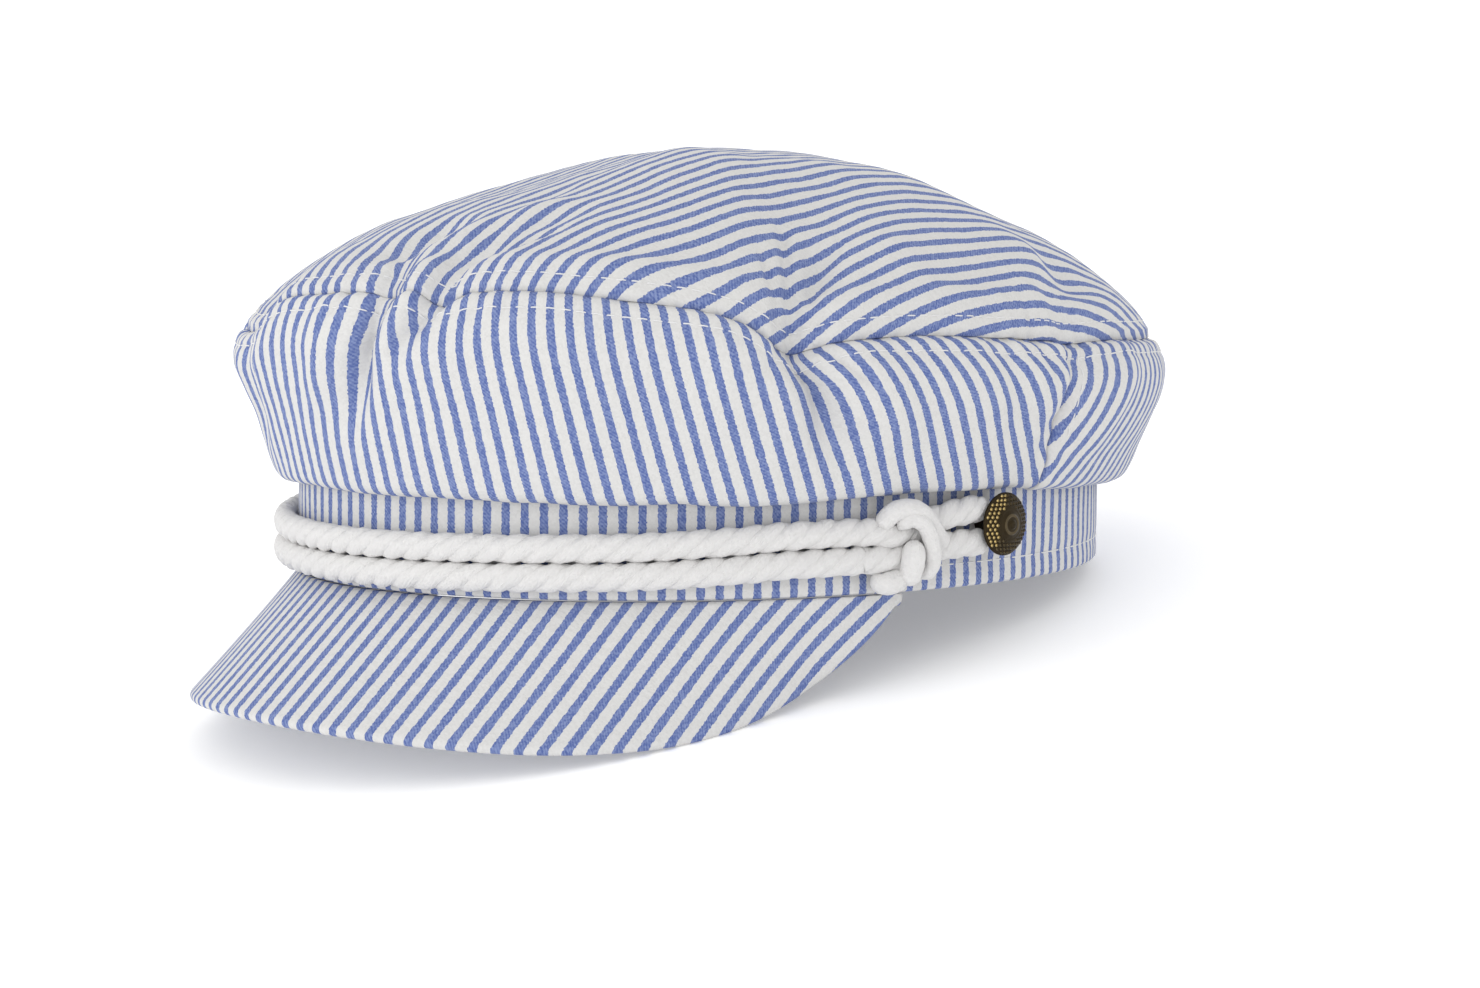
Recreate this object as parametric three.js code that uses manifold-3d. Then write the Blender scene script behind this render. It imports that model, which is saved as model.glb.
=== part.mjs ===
// Breton fisherman cap in striped cotton: a three-panel crown, a stand-up band, a short curved peak,
// two ropes across the front that are knotted at each side, and two domed buttons.
//
// The cap is modelled upright: the head opening's lower edge lies at z = 0, the peak points along -Y and
// the wearer's left is +X. Angles are degrees round the band from the front centre, positive to the left.
// At the end the whole cap is tipped back until it rests on its peak and on the back of its band.

import * as THREE from 'three';
import { mergeVertices } from 'three/addons/utils/BufferGeometryUtils.js';
import Module from 'manifold-3d';

const wasm = await Module();
wasm.setup();

// Sizes in millimetres

const bandLength = 210.4;
const bandWidth = 166;
const bandHeight = 26;
const bandThickness = 2.2;

const clothThickness = 1.6;
const clearance = 0.3;

const foldHeight = 21.5;
const seamHeight = 58;
const crownHeight = 99.3;
const crownOverhangWidth = 16.4;
const crownCentreSetback = 4;
const dentDepth = 4;
const dentWidth = 6;
const backSeamAngle = 105;

const peakLength = 39;
const peakThickness = 2.8;
const peakHalfAngle = 84.5;
const peakSlope = 43;
const peakSideSlope = 62;
const peakSteepest = 88;
const peakSteepestUnderside = 60;
const peakEdgeTurns = [35, -35];
const peakTuck = 1.8;
// The peak narrows toward its ends: a higher cornering keeps it long for more of the way round
const peakCornering = 3.2;
const peakEndRounding = 0.8;

const ropeDiameter = 6.1;
const ropeSpacing = 6.4;
const knotAngle = 84;
const knotHalfWidth = 12.7;
const knotRunDiameter = 5.8;
const knotOuterDiameter = 4.6;
const knotInnerDiameter = 3.8;
const knotUprightDiameter = 5.4;

const buttonKnotSpacing = 26.2;
const buttonRise = 3.4;
const buttonDiameter = 14.5;
const buttonDome = 2.5;
const buttonRim = 0.8;
const buttonShankDiameter = 5.5;
const buttonDomeTurn = 75;

// Counts of facets

const sideColumns = 54;
const backColumns = 22;
const domeRows = 6;
const bandColumns = 64;
const peakColumns = 32;
const peakRows = 4;
const ropeSides = 8;
const ropeSteps = 42;
const knotSides = 6;
const knotStepsPerPoint = 1.05;
const buttonSides = 14;
const buttonDomeRings = 4;

// Tables: each length is a share of the named size that it follows

// Height of the top seam, as a share of seamHeight
const seamLine = [
  { angle: -170, height: 0.92 },
  { angle: -140, height: 0.93 },
  { angle: -118, height: 0.965 },
  { angle: -98, height: 0.99 },
  { angle: -80, height: 1.01 },
  { angle: -62, height: 1.02 },
  { angle: -45, height: 1.04 },
  { angle: -30, height: 0.99 },
  { angle: -16, height: 0.99 },
  { angle: -4, height: 1.13 },
  { angle: 9, height: 1.16 },
  { angle: 20, height: 1.18 },
  { angle: 25, height: 1.145 },
  { angle: 29, height: 1.18 },
  { angle: 36, height: 1.185 },
  { angle: 45, height: 1.16 },
  { angle: 54, height: 1.125 },
  { angle: 60, height: 1.075 },
  { angle: 66, height: 0.98 },
  { angle: 71, height: 0.993 },
  { angle: 80, height: 1.015 },
  { angle: 94, height: 1.0 },
  { angle: 106, height: 0.97 },
  { angle: 120, height: 0.96 },
  { angle: 140, height: 0.94 },
  { angle: 160, height: 0.93 },
];

// Height of the crown's lowest fold, as a share of foldHeight
const foldLine = [
  { angle: -170, height: 0.93 },
  { angle: -124, height: 0.93 },
  { angle: -100, height: 1.04 },
  { angle: -84, height: 1.05 },
  { angle: -66, height: 1.0 },
  { angle: -30, height: 1.02 },
  { angle: 30, height: 1.02 },
  { angle: 66, height: 1.0 },
  { angle: 84, height: 1.05 },
  { angle: 100, height: 1.04 },
  { angle: 124, height: 0.93 },
  { angle: 170, height: 0.93 },
];

// How far a section follows the front shape of the crown, 1, or the back shape, 0
const frontShare = [
  { angle: -120, share: 0 },
  { angle: -75, share: 0.5 },
  { angle: -40, share: 1 },
  { angle: -10, share: 1 },
  { angle: 20, share: 0.9 },
  { angle: 60, share: 0.5 },
  { angle: 90, share: 0.1 },
  { angle: 120, share: 0 },
  { angle: 180, share: 0 },
];

// The side wall from its hem on top of the band, under the fold, and up to the seam: hem is a share of
// the height from fold to hem, rise of the height from fold to seam, back and front of crownOverhangWidth
const wallProfile = [
  { hem: 1, rise: 0, back: -0.07, front: -0.07 },
  { hem: 1, rise: 0, back: 0.012, front: 0.012 },
  { hem: 0.75, rise: 0, back: 0.048, front: 0.048 },
  { hem: 0.04, rise: 0, back: 0.125, front: 0.12 },
  { hem: 0, rise: 0, back: 0.24, front: 0.21 },
  { hem: 0, rise: 0.03, back: 0.38, front: 0.31 },
  { hem: 0, rise: 0.1, back: 0.48, front: 0.38 },
  { hem: 0, rise: 0.24, back: 0.61, front: 0.49 },
  { hem: 0, rise: 0.42, back: 0.79, front: 0.63 },
  { hem: 0, rise: 0.6, back: 0.95, front: 0.8 },
  { hem: 0, rise: 0.76, back: 1.0, front: 0.935 },
  { hem: 0, rise: 0.9, back: 0.91, front: 0.9 },
  { hem: 0, rise: 1.0, back: 0.75, front: 0.75 },
];

// How far a section of the dome follows its fuller side shape, 1, or not, 0
const sideShare = [
  { angle: -120, share: 0.3 },
  { angle: -100, share: 1 },
  { angle: -75, share: 0.8 },
  { angle: -50, share: 0.2 },
  { angle: -35, share: 0 },
  { angle: -10, share: 0 },
  { angle: 0, share: 0.1 },
  { angle: 20, share: 0.5 },
  { angle: 45, share: 1 },
  { angle: 105, share: 1 },
  { angle: 125, share: 0.55 },
  { angle: 145, share: 0.1 },
  { angle: 170, share: 0 },
];

// The dome from the seam to its centre: inward is a share of that distance, back, front and side are
// shares of the rise from the seam to the crown's top, and the last row is past the centre
const domeProfile = [
  { inward: 0, back: 0, front: 0, side: 0 },
  { inward: 0.035, back: 0.13, front: 0.11, side: 0.2 },
  { inward: 0.09, back: 0.265, front: 0.24, side: 0.3 },
  { inward: 0.2, back: 0.45, front: 0.425, side: 0.515 },
  { inward: 0.33, back: 0.59, front: 0.58, side: 0.69 },
  { inward: 0.5, back: 0.77, front: 0.71, side: 0.875 },
  { inward: 0.65, back: 0.89, front: 0.82, side: 0.955 },
  { inward: 0.82, back: 0.975, front: 0.95, side: 0.99 },
  { inward: 1, back: 1, front: 1, side: 1 },
  { inward: 1.18, back: 0.975, front: 0.95, side: 0.985 },
];

// Dents (positive) and ridges (negative) of the side wall, each from a low point to a high one: rise is
// a share of the wall from fold to seam, depth of dentDepth and width of dentWidth
const wallDents = [
  { lowAngle: 10, lowRise: 0.4, highAngle: 17.5, highRise: 1.1, depth: 0.9, width: 0.7 },
  { lowAngle: 4, lowRise: 0.5, highAngle: 9, highRise: 1.0, depth: -0.45, width: 0.9 },
  { lowAngle: 19, lowRise: 0.68, highAngle: 25, highRise: 1.1, depth: 0.85, width: 0.6 },
  { lowAngle: 72, lowRise: 0.3, highAngle: 66.5, highRise: 1.05, depth: 1.1, width: 0.75 },
  { lowAngle: 80, lowRise: 0.35, highAngle: 74, highRise: 0.95, depth: -0.5, width: 1.1 },
  { lowAngle: 60, lowRise: 0.45, highAngle: 58, highRise: 0.95, depth: -0.3, width: 1.2 },
  { lowAngle: -20, lowRise: 0.3, highAngle: -12, highRise: 1.0, depth: 0.5, width: 1.1 },
  { lowAngle: -36, lowRise: 0.45, highAngle: -31, highRise: 1.05, depth: 0.6, width: 0.9 },
  { lowAngle: 98, lowRise: 0.3, highAngle: 93, highRise: 0.95, depth: 0.35, width: 0.8 },
  { lowAngle: 104, lowRise: 0.25, highAngle: 106, highRise: 1.0, depth: 0.7, width: 0.7 },
  { lowAngle: 112, lowRise: 0.25, highAngle: 118, highRise: 0.95, depth: -0.35, width: 1.0 },
  { lowAngle: -70, lowRise: 0.3, highAngle: -66, highRise: 1.0, depth: 0.8, width: 0.9 },
  { lowAngle: -88, lowRise: 0.35, highAngle: -82, highRise: 0.95, depth: -0.35, width: 1.1 },
  { lowAngle: -104, lowRise: 0.25, highAngle: -106, highRise: 1.0, depth: 0.7, width: 0.7 },
  { lowAngle: 148, lowRise: 0.3, highAngle: 150, highRise: 0.95, depth: 0.45, width: 1.3 },
  { lowAngle: -140, lowRise: 0.3, highAngle: -146, highRise: 0.95, depth: 0.5, width: 1.3 },
];

// Dents (positive) and ridges (negative) of the dome, seen from above: x is a share of half the band's
// width, y of half its length, depth of dentDepth and width of dentWidth
const domeDents = [
  { x: 0.22, y: -1.02, toX: 0.22, toY: -0.84, depth: 0.7, width: 0.8 },
  { x: 0.44, y: -0.97, toX: 0.5, toY: -0.7, depth: 0.6, width: 0.9 },
  { x: 0.36, y: -0.92, toX: 0.42, toY: -0.68, depth: -0.4, width: 0.9 },
  { x: 1.06, y: -0.44, toX: 0.82, toY: -0.26, depth: 1.0, width: 1.1 },
  { x: 0.82, y: -0.26, toX: 0.5, toY: -0.1, depth: 0.6, width: 1.5 },
  { x: 0.98, y: -0.52, toX: 0.62, toY: -0.3, depth: -0.7, width: 1.2 },
  { x: 0.55, y: -0.26, toX: 0.1, toY: -0.2, depth: -0.35, width: 1.8 },
  { x: 1.1, y: 0.18, toX: 0.85, toY: 0.36, depth: -0.5, width: 1.2 },
  { x: 1.12, y: 0.3, toX: 0.9, toY: 0.46, depth: 0.5, width: 1.0 },
  { x: 1.08, y: -0.12, toX: 0.9, toY: -0.08, depth: -0.3, width: 1.2 },
  { x: -0.3, y: -1.0, toX: -0.2, toY: -0.7, depth: 0.5, width: 1.1 },
  { x: -1.02, y: -0.4, toX: -0.7, toY: -0.25, depth: 0.7, width: 1.2 },
  { x: -1.05, y: 0.25, toX: -0.8, toY: 0.35, depth: 0.45, width: 1.2 },
  { x: -0.2, y: 0.3, toX: 0.4, toY: 0.45, depth: 0.4, width: 2.2 },
];

// Height of the line midway between the two ropes, as a share of foldHeight
const ropeLine = [
  { angle: -74, height: 0.526 },
  { angle: -66, height: 0.507 },
  { angle: -61, height: 0.474 },
  { angle: -46, height: 0.412 },
  { angle: 0, height: 0.356 },
  { angle: 46, height: 0.412 },
  { angle: 61, height: 0.474 },
  { angle: 66, height: 0.507 },
  { angle: 74, height: 0.526 },
];

// Routes of the knot's strands: along the band toward the back from the knot's middle and out from the
// band in rope diameters, up from the line between the ropes in rope spacings. The two strands of the
// arch go over the top and down toward the back, the upright one covers the front of the ropes and the
// loop comes out below them.
const knotArchOuter = [
  { along: -1.31, up: 0.6, out: 0.48 },
  { along: -1.22, up: 0.93, out: 0.77 },
  { along: -1.01, up: 1.2, out: 0.98 },
  { along: -0.68, up: 1.32, out: 1.13 },
  { along: -0.31, up: 1.3, out: 1.2 },
  { along: 0.06, up: 1.13, out: 1.22 },
  { along: 0.42, up: 0.84, out: 1.14 },
  { along: 0.8, up: 0.48, out: 0.98 },
  { along: 1.2, up: 0.16, out: 0.78 },
  { along: 1.7, up: -0.03, out: 0.55 },
];
const knotArchInner = [
  { along: -0.66, up: 0.58, out: 0.84 },
  { along: -0.59, up: 0.85, out: 1.1 },
  { along: -0.37, up: 0.96, out: 1.3 },
  { along: -0.01, up: 0.82, out: 1.38 },
  { along: 0.24, up: 0.5, out: 1.4 },
  { along: 0.4, up: 0.11, out: 1.38 },
  { along: 0.53, up: -0.3, out: 1.31 },
  { along: 0.6, up: -0.67, out: 1.18 },
  { along: 0.5, up: -0.96, out: 1.0 },
  { along: 0.22, up: -1.15, out: 0.78 },
];
const knotUpright = [
  { along: -0.01, up: 0.14, out: 0.93 },
  { along: -0.19, up: -0.14, out: 1.12 },
  { along: -0.27, up: -0.48, out: 1.2 },
  { along: -0.28, up: -0.84, out: 1.1 },
  { along: -0.26, up: -1.12, out: 0.9 },
  { along: -0.24, up: -1.3, out: 0.65 },
];
const knotLoop = [
  { along: -0.3, up: -0.9, out: 0.6 },
  { along: -0.65, up: -1.2, out: 0.72 },
  { along: -1.05, up: -1.3, out: 0.74 },
  { along: -1.4, up: -1.24, out: 0.66 },
  { along: -1.6, up: -1.0, out: 0.54 },
];
const knotUpperRope = [
  { along: -1.6, up: 0.48, out: 0.5 },
  { along: -0.7, up: 0.36, out: 0.52 },
  { along: 0.1, up: 0.46, out: 0.54 },
  { along: 1.0, up: 0.74, out: 0.53 },
  { along: 1.9, up: 0.95, out: 0.5 },
  { along: 2.8, up: 1.05, out: 0.5 },
];
const knotLowerRope = [
  { along: -1.4, up: -0.48, out: 0.5 },
  { along: -0.5, up: -0.46, out: 0.52 },
  { along: 0.4, up: -0.36, out: 0.53 },
  { along: 1.3, up: -0.18, out: 0.52 },
  { along: 2.2, up: -0.12, out: 0.5 },
];
const upperRunEnd = 1.12;
const lowerRunEnd = -0.1;

const radians = THREE.MathUtils.degToRad;
const bandHalfLength = bandLength / 2;
const bandHalfWidth = bandWidth / 2;

// Smooth curve through table rows: x and y name the columns
function along(rows, x, y, at) {
  const last = rows.length - 1;
  const value = THREE.MathUtils.clamp(at, rows[0][x], rows[last][x]);
  let k = 0;
  while (k < last - 1 && value > rows[k + 1][x]) {
    k += 1;
  }
  const slope = (i) => {
    const a = rows[Math.max(i - 1, 0)];
    const b = rows[Math.min(i + 1, last)];
    return (b[y] - a[y]) / (b[x] - a[x]);
  };
  const width = rows[k + 1][x] - rows[k][x];
  const u = (value - rows[k][x]) / width;
  const rise = (3 - 2 * u) * u * u;
  const bend = u * (1 - u) * width;
  return (
    rows[k][y] * (1 - rise) + rows[k + 1][y] * rise
    + bend * ((1 - u) * slope(k) - u * slope(k + 1))
  );
}

// The same round the whole cap: the rows repeat after a full turn
function around(rows, y, angle) {
  const turn = (shift) => rows.map((row) => ({ ...row, angle: row.angle + shift }));
  const wrapped = THREE.MathUtils.euclideanModulo(angle + 180, 360) - 180;
  return along([...turn(-360), ...rows, ...turn(360)], 'angle', y, wrapped);
}

// A point at an angle round the band, out from its outer face and up from its lower edge
function onBand(angle, out, up) {
  const t = radians(angle);
  return new THREE.Vector3((bandHalfWidth + out) * Math.sin(t), -(bandHalfLength + out) * Math.cos(t), up);
}

// Directions at an angle round the band: straight out from its face, and along it toward the back
function bandDirections(angle) {
  const t = radians(angle);
  const out = new THREE.Vector3(Math.sin(t) / bandHalfWidth, -Math.cos(t) / bandHalfLength, 0).normalize();
  const toBack = new THREE.Vector3(-out.y, out.x, 0);
  return { out, toBack };
}

const millimetresPerDegree = radians((bandHalfLength + bandHalfWidth) / 2 + crownOverhangWidth);

// Depth of a dent, fading out at both ends, at a distance along it (0 to 1) and beside it
function dentAt(dent, alongIt, beside) {
  const fade = 0.25;
  const start = THREE.MathUtils.smoothstep(alongIt, -fade, fade);
  const end = 1 - THREE.MathUtils.smoothstep(alongIt, 1 - fade, 1 + fade);
  const across = beside / (dent.width * dentWidth);
  return dent.depth * dentDepth * start * end * Math.exp(-across * across);
}

function wallDentDepth(angle, rise) {
  let depth = 0;
  for (const dent of wallDents) {
    const alongIt = (rise - dent.lowRise) / (dent.highRise - dent.lowRise);
    const middle = THREE.MathUtils.lerp(dent.lowAngle, dent.highAngle, alongIt);
    depth += dentAt(dent, alongIt, (angle - middle) * millimetresPerDegree);
  }
  return depth;
}

function domeDentDepth(point) {
  const here = new THREE.Vector2(point.x, point.y);
  let depth = 0;
  for (const dent of domeDents) {
    const start = new THREE.Vector2(dent.x * bandHalfWidth, dent.y * bandHalfLength);
    const line = new THREE.Vector2(dent.toX * bandHalfWidth, dent.toY * bandHalfLength).sub(start);
    const offset = here.clone().sub(start);
    const alongIt = offset.dot(line) / line.lengthSq();
    depth += dentAt(dent, alongIt, offset.cross(line) / line.length());
  }
  return depth;
}

// The crown's smooth outer face: v runs from 0 at the hem to 1 at the seam and 2 at the dome's centre
const wallRows = wallProfile.map((row, index) => ({ ...row, v: index / (wallProfile.length - 1) }));
const hemHeight = bandHeight + clearance;
const evenSeamBack = 0.95;
const evenSeamFront = 1.06;
// Share of the way to the centre over which the wall's dents fade out on the dome
const wallDentFade = 0.12;

function crownForm(angle, v) {
  const front = around(frontShare, 'share', angle);
  const fold = foldHeight * around(foldLine, 'height', angle);
  const seam = seamHeight * around(seamLine, 'height', angle);
  const hem = along(wallRows, 'v', 'hem', v);
  const rise = along(wallRows, 'v', 'rise', v);
  const out = THREE.MathUtils.lerp(along(wallRows, 'v', 'back', v), along(wallRows, 'v', 'front', v), front);
  const height = fold + (hemHeight - fold) * hem + (seam - fold) * rise;
  const wall = onBand(angle, out * crownOverhangWidth, height);
  if (v <= 1) {
    return { point: wall, dent: wallDentDepth(angle, rise) };
  }
  const inward = v - 1;
  const climbs = (column) => along(domeProfile, 'inward', column, inward);
  const endClimb = THREE.MathUtils.lerp(climbs('back'), climbs('front'), front);
  const climb = THREE.MathUtils.lerp(endClimb, climbs('side'), around(sideShare, 'share', angle));
  const centre = new THREE.Vector3(0, crownCentreSetback, 0);
  const dome = wall.clone().lerp(centre, inward);
  const evenSeam = seamHeight * THREE.MathUtils.lerp(evenSeamBack, evenSeamFront, front);
  dome.z = evenSeam + (crownHeight - evenSeam) * climb + (wall.z - evenSeam) * (1 - inward) ** 3;
  const nearSeam = 1 - THREE.MathUtils.smoothstep(inward, 0, wallDentFade);
  const dent = wallDentDepth(angle, 1) * nearSeam + domeDentDepth(dome) * (1 - nearSeam);
  return { point: dome, dent };
}

// Unit normal of the smooth outer face, from its slopes round the crown and up it
function crownNormal(angle, v) {
  const small = { angle: 0.5, v: 0.01 };
  const across = crownForm(angle + small.angle, v).point.sub(crownForm(angle - small.angle, v).point);
  const upward = crownForm(angle, v + small.v).point.sub(crownForm(angle, Math.max(v - small.v, 0)).point);
  return across.cross(upward).normalize();
}

// A point of the crown's wall, inset from the outer face with its dents
function crownPoint(angle, v, inset) {
  const { point, dent } = crownForm(angle, v);
  return point.addScaledVector(crownNormal(angle, v), -dent - inset);
}

// The change in v that moves half the seam's gap away from the seam, downward or upward
function halfGap(angle, direction) {
  const small = 0.005;
  const moved = crownForm(angle, 1).point.distanceTo(crownForm(angle, 1 + direction * small).point);
  return (direction * small * clearance) / (2 * moved);
}

// A closed solid through sections that all have the same even number of points, with half of them on
// each of two facing sides. A loop joins its last section to its first, and any other solid is closed
// at both ends by strips between the two sides.
function loft(sections, isLoop) {
  const size = sections[0].length;
  const half = size / 2;
  const positions = sections.flat().flatMap((point) => point.toArray());
  const indices = [];
  const joins = isLoop ? sections.length : sections.length - 1;
  for (let i = 0; i < joins; i += 1) {
    const here = i * size;
    const next = ((i + 1) % sections.length) * size;
    for (let j = 0; j < size; j += 1) {
      const k = (j + 1) % size;
      indices.push(here + j, next + j, next + k, here + j, next + k, here + k);
    }
  }
  if (!isLoop) {
    const end = (sections.length - 1) * size;
    for (let j = 0; j < half - 1; j += 1) {
      const opposite = size - 1 - j;
      indices.push(j, j + 1, opposite - 1, j, opposite - 1, opposite);
      indices.push(end + j, end + opposite - 1, end + j + 1, end + j, end + opposite, end + opposite - 1);
    }
  }
  const geometry = new THREE.BufferGeometry();
  geometry.setAttribute('position', new THREE.Float32BufferAttribute(positions, 3));
  geometry.setIndex(indices);
  return facingOut(geometry);
}

// The same solid with its faces pointing outward
function facingOut(geometry) {
  const position = geometry.getAttribute('position');
  const index = geometry.getIndex().array;
  const corner = (i) => new THREE.Vector3().fromBufferAttribute(position, index[i]);
  let volume = 0;
  for (let i = 0; i < index.length; i += 3) {
    volume += corner(i).dot(corner(i + 1).cross(corner(i + 2)));
  }
  if (volume < 0) {
    for (let i = 0; i < index.length; i += 3) {
      [index[i + 1], index[i + 2]] = [index[i + 2], index[i + 1]];
    }
  }
  geometry.computeVertexNormals();
  return geometry;
}

// Evenly spaced values from start to end, both included
function spread(start, end, steps) {
  return Array.from({ length: steps + 1 }, (_, i) => THREE.MathUtils.lerp(start, end, i / steps));
}

// One upright section of a crown panel's wall, from hem to seam: outer side up, inner side down
function wallSection(angle) {
  const values = wallRows.map((row) => Math.min(row.v, 1 + halfGap(angle, -1)));
  const outer = values.map((v) => crownPoint(angle, v, 0));
  const inner = values.map((v) => crownPoint(angle, v, clothThickness));
  return [...outer, ...inner.reverse()];
}

const backSeamStart = backSeamAngle + clearance / 2 / millimetresPerDegree;
const backSeamEnd = backSeamAngle - clearance / 2 / millimetresPerDegree;
const sideAngles = spread(-backSeamEnd, backSeamEnd, sideColumns);
const backAngles = spread(backSeamStart, 360 - backSeamStart, backColumns);

function crownSide() {
  return loft(sideAngles.map(wallSection), false);
}

function crownBack() {
  return loft(backAngles.map(wallSection), false);
}

// The dome's columns follow the side walls', and its rings lie closer together near the seam
function crownTop() {
  const domeEnd = 0.95;
  const crowding = 1.5;
  const angles = [...sideAngles, ...backAngles.slice(1, -1)];
  const shares = spread(0, 1, domeRows).map((step) => domeEnd * step ** crowding);
  const ring = (share, inset) => angles.map((angle) => {
    const start = halfGap(angle, 1);
    return crownPoint(angle, 1 + start + share * (1 - start), inset);
  });
  const outer = shares.map((share) => ring(share, 0));
  const inner = shares.map((share) => ring(share, clothThickness));
  return loft([...inner.reverse(), ...outer], false);
}

function band() {
  const angles = spread(0, 360, bandColumns).slice(0, -1);
  const sections = angles.map((angle) => [
    onBand(angle, 0, 0),
    onBand(angle, 0, bandHeight),
    onBand(angle, -bandThickness, bandHeight),
    onBand(angle, -bandThickness, 0),
  ]);
  return loft(sections, true);
}

// Length and slope of the peak at an angle
function peakForm(angle) {
  const side = Math.min(Math.abs(angle / peakHalfAngle), 1);
  const length = peakLength * (1 - side ** peakCornering) ** peakEndRounding;
  const slope = Math.min(peakSlope + peakSideSlope * side * side, peakSteepest);
  return { length, slope: radians(slope) };
}

// One section across the peak, from its root under the band to its rounded edge and back beneath
function peakSection(angle) {
  const { length, slope } = peakForm(angle);
  const { out } = bandDirections(angle);
  const place = (forward, down) => onBand(angle, 0, -clearance - down).addScaledVector(out, forward);
  const lean = Math.min(slope, radians(peakSteepestUnderside));
  const edgeRadius = peakThickness / 2;
  const reach = Math.max(length - edgeRadius, edgeRadius / 2);
  const shift = (distance, depth) => place(
    distance * Math.cos(slope) - depth * Math.sin(lean),
    distance * Math.sin(slope) + depth * Math.cos(lean),
  );
  const topLine = spread(0, reach, peakRows).map((distance) => shift(distance, 0));
  const underside = spread(0, reach, peakRows).map((distance) => shift(distance, peakThickness));
  const edge = peakEdgeTurns.map((turn) => shift(
    reach + edgeRadius * Math.cos(radians(turn)),
    edgeRadius * (1 - Math.sin(radians(turn))),
  ));
  const tuck = place(-peakTuck, 0);
  const tuckUnder = place(-peakTuck - edgeRadius * Math.sin(lean), peakThickness * Math.cos(lean));
  return [tuck, ...topLine, ...edge, ...underside.reverse(), tuckUnder];
}

function peak() {
  return loft(spread(-peakHalfAngle, peakHalfAngle, peakColumns).map(peakSection), false);
}

// A round cord along a route
function cordAlong(points, diameter, sides, steps) {
  const section = new THREE.Shape(
    spread(0, 360, sides).slice(0, -1).map((turn) => new THREE.Vector2(
      (diameter / 2) * Math.cos(radians(turn)),
      (diameter / 2) * Math.sin(radians(turn)),
    )),
  );
  const extrudePath = new THREE.CatmullRomCurve3(points, false, 'centripetal');
  return new THREE.ExtrudeGeometry(section, { extrudePath, steps, bevelEnabled: false });
}

// Ropes lie against the band: distances along the band's face are turned into angles there
const ropeOut = clearance + ropeDiameter / 2;
const knotRate = radians(Math.hypot(
  (bandHalfWidth + ropeOut) * Math.cos(radians(knotAngle)),
  (bandHalfLength + ropeOut) * Math.sin(radians(knotAngle)),
));
const knotEndAngle = knotAngle - (knotHalfWidth + clearance) / knotRate;
const ropeHeight = (angle) => {
  const last = ropeLine[ropeLine.length - 1].angle;
  return foldHeight * along(ropeLine, 'angle', 'height', THREE.MathUtils.clamp(angle, -last, last));
};
const knotHeight = ropeHeight(knotAngle);

function rope(level) {
  const points = spread(-knotEndAngle, knotEndAngle, ropeSteps / 2)
    .map((angle) => onBand(angle, ropeOut, ropeHeight(angle) + level * ropeSpacing));
  return cordAlong(points, ropeDiameter, ropeSides, ropeSteps);
}

// A strand of the knot on one side: side is 1 on the wearer's left and -1 on the right
function knotStrand(route, diameter, side) {
  const points = route.map((row) => {
    const angle = knotAngle + (row.along * ropeDiameter) / knotRate;
    const point = onBand(angle, clearance + row.out * ropeDiameter, knotHeight + row.up * ropeSpacing);
    point.x *= side;
    return point;
  });
  return cordAlong(points, diameter, knotSides, Math.round(route.length * knotStepsPerPoint));
}

// A rope that enters the knot at one level and runs on to the button at another
function throughRope(route, level, endUp) {
  const runEnd = buttonKnotSpacing - buttonShankDiameter / 2 - 2 * clearance;
  return [
    { along: -knotHalfWidth / ropeDiameter, up: level, out: 0.5 },
    ...route,
    { along: runEnd / ropeDiameter, up: endUp, out: 0.5 },
  ];
}

const weldDistance = 1e-4;

// A closed geometry as a solid that can be joined, and back
function toSolid(geometry) {
  const bare = geometry.clone();
  bare.deleteAttribute('normal');
  bare.deleteAttribute('uv');
  const merged = mergeVertices(bare, weldDistance);
  return new wasm.Manifold(new wasm.Mesh({
    numProp: 3,
    vertProperties: Float32Array.from(merged.getAttribute('position').array),
    triVerts: Uint32Array.from(merged.getIndex().array),
  }));
}

function fromSolid(solid) {
  const mesh = solid.getMesh();
  const geometry = new THREE.BufferGeometry();
  geometry.setAttribute('position', new THREE.Float32BufferAttribute(mesh.vertProperties, 3));
  geometry.setIndex(Array.from(mesh.triVerts));
  geometry.computeVertexNormals();
  return geometry;
}

function knot(side) {
  const strands = [
    knotStrand(throughRope(knotUpperRope, 0.5, upperRunEnd), knotRunDiameter, side),
    knotStrand(throughRope(knotLowerRope, -0.5, lowerRunEnd), knotRunDiameter, side),
    knotStrand(knotArchOuter, knotOuterDiameter, side),
    knotStrand(knotArchInner, knotInnerDiameter, side),
    knotStrand(knotUpright, knotUprightDiameter, side),
    knotStrand(knotLoop, knotUprightDiameter, side),
  ];
  return fromSolid(strands.map(toSolid).reduce((joined, strand) => joined.add(strand)));
}

// A domed button: its rim stands clear over the rope ends on a shank that reaches the band
function button() {
  const shankRadius = buttonShankDiameter / 2;
  const rimRadius = buttonDiameter / 2;
  const rimHeight = knotRunDiameter + 2 * clearance;
  const dome = spread(0, buttonDomeTurn, buttonDomeRings).map((turn) => new THREE.Vector2(
    rimRadius * Math.cos(radians(turn)),
    rimHeight + buttonRim + buttonDome * Math.sin(radians(turn)),
  ));
  const profile = [
    new THREE.Vector2(0, clearance),
    new THREE.Vector2(shankRadius, clearance),
    new THREE.Vector2(shankRadius, rimHeight),
    new THREE.Vector2(rimRadius, rimHeight),
    ...dome,
    new THREE.Vector2(0, rimHeight + buttonRim + buttonDome),
  ];
  return new THREE.LatheGeometry(profile, buttonSides);
}

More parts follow.
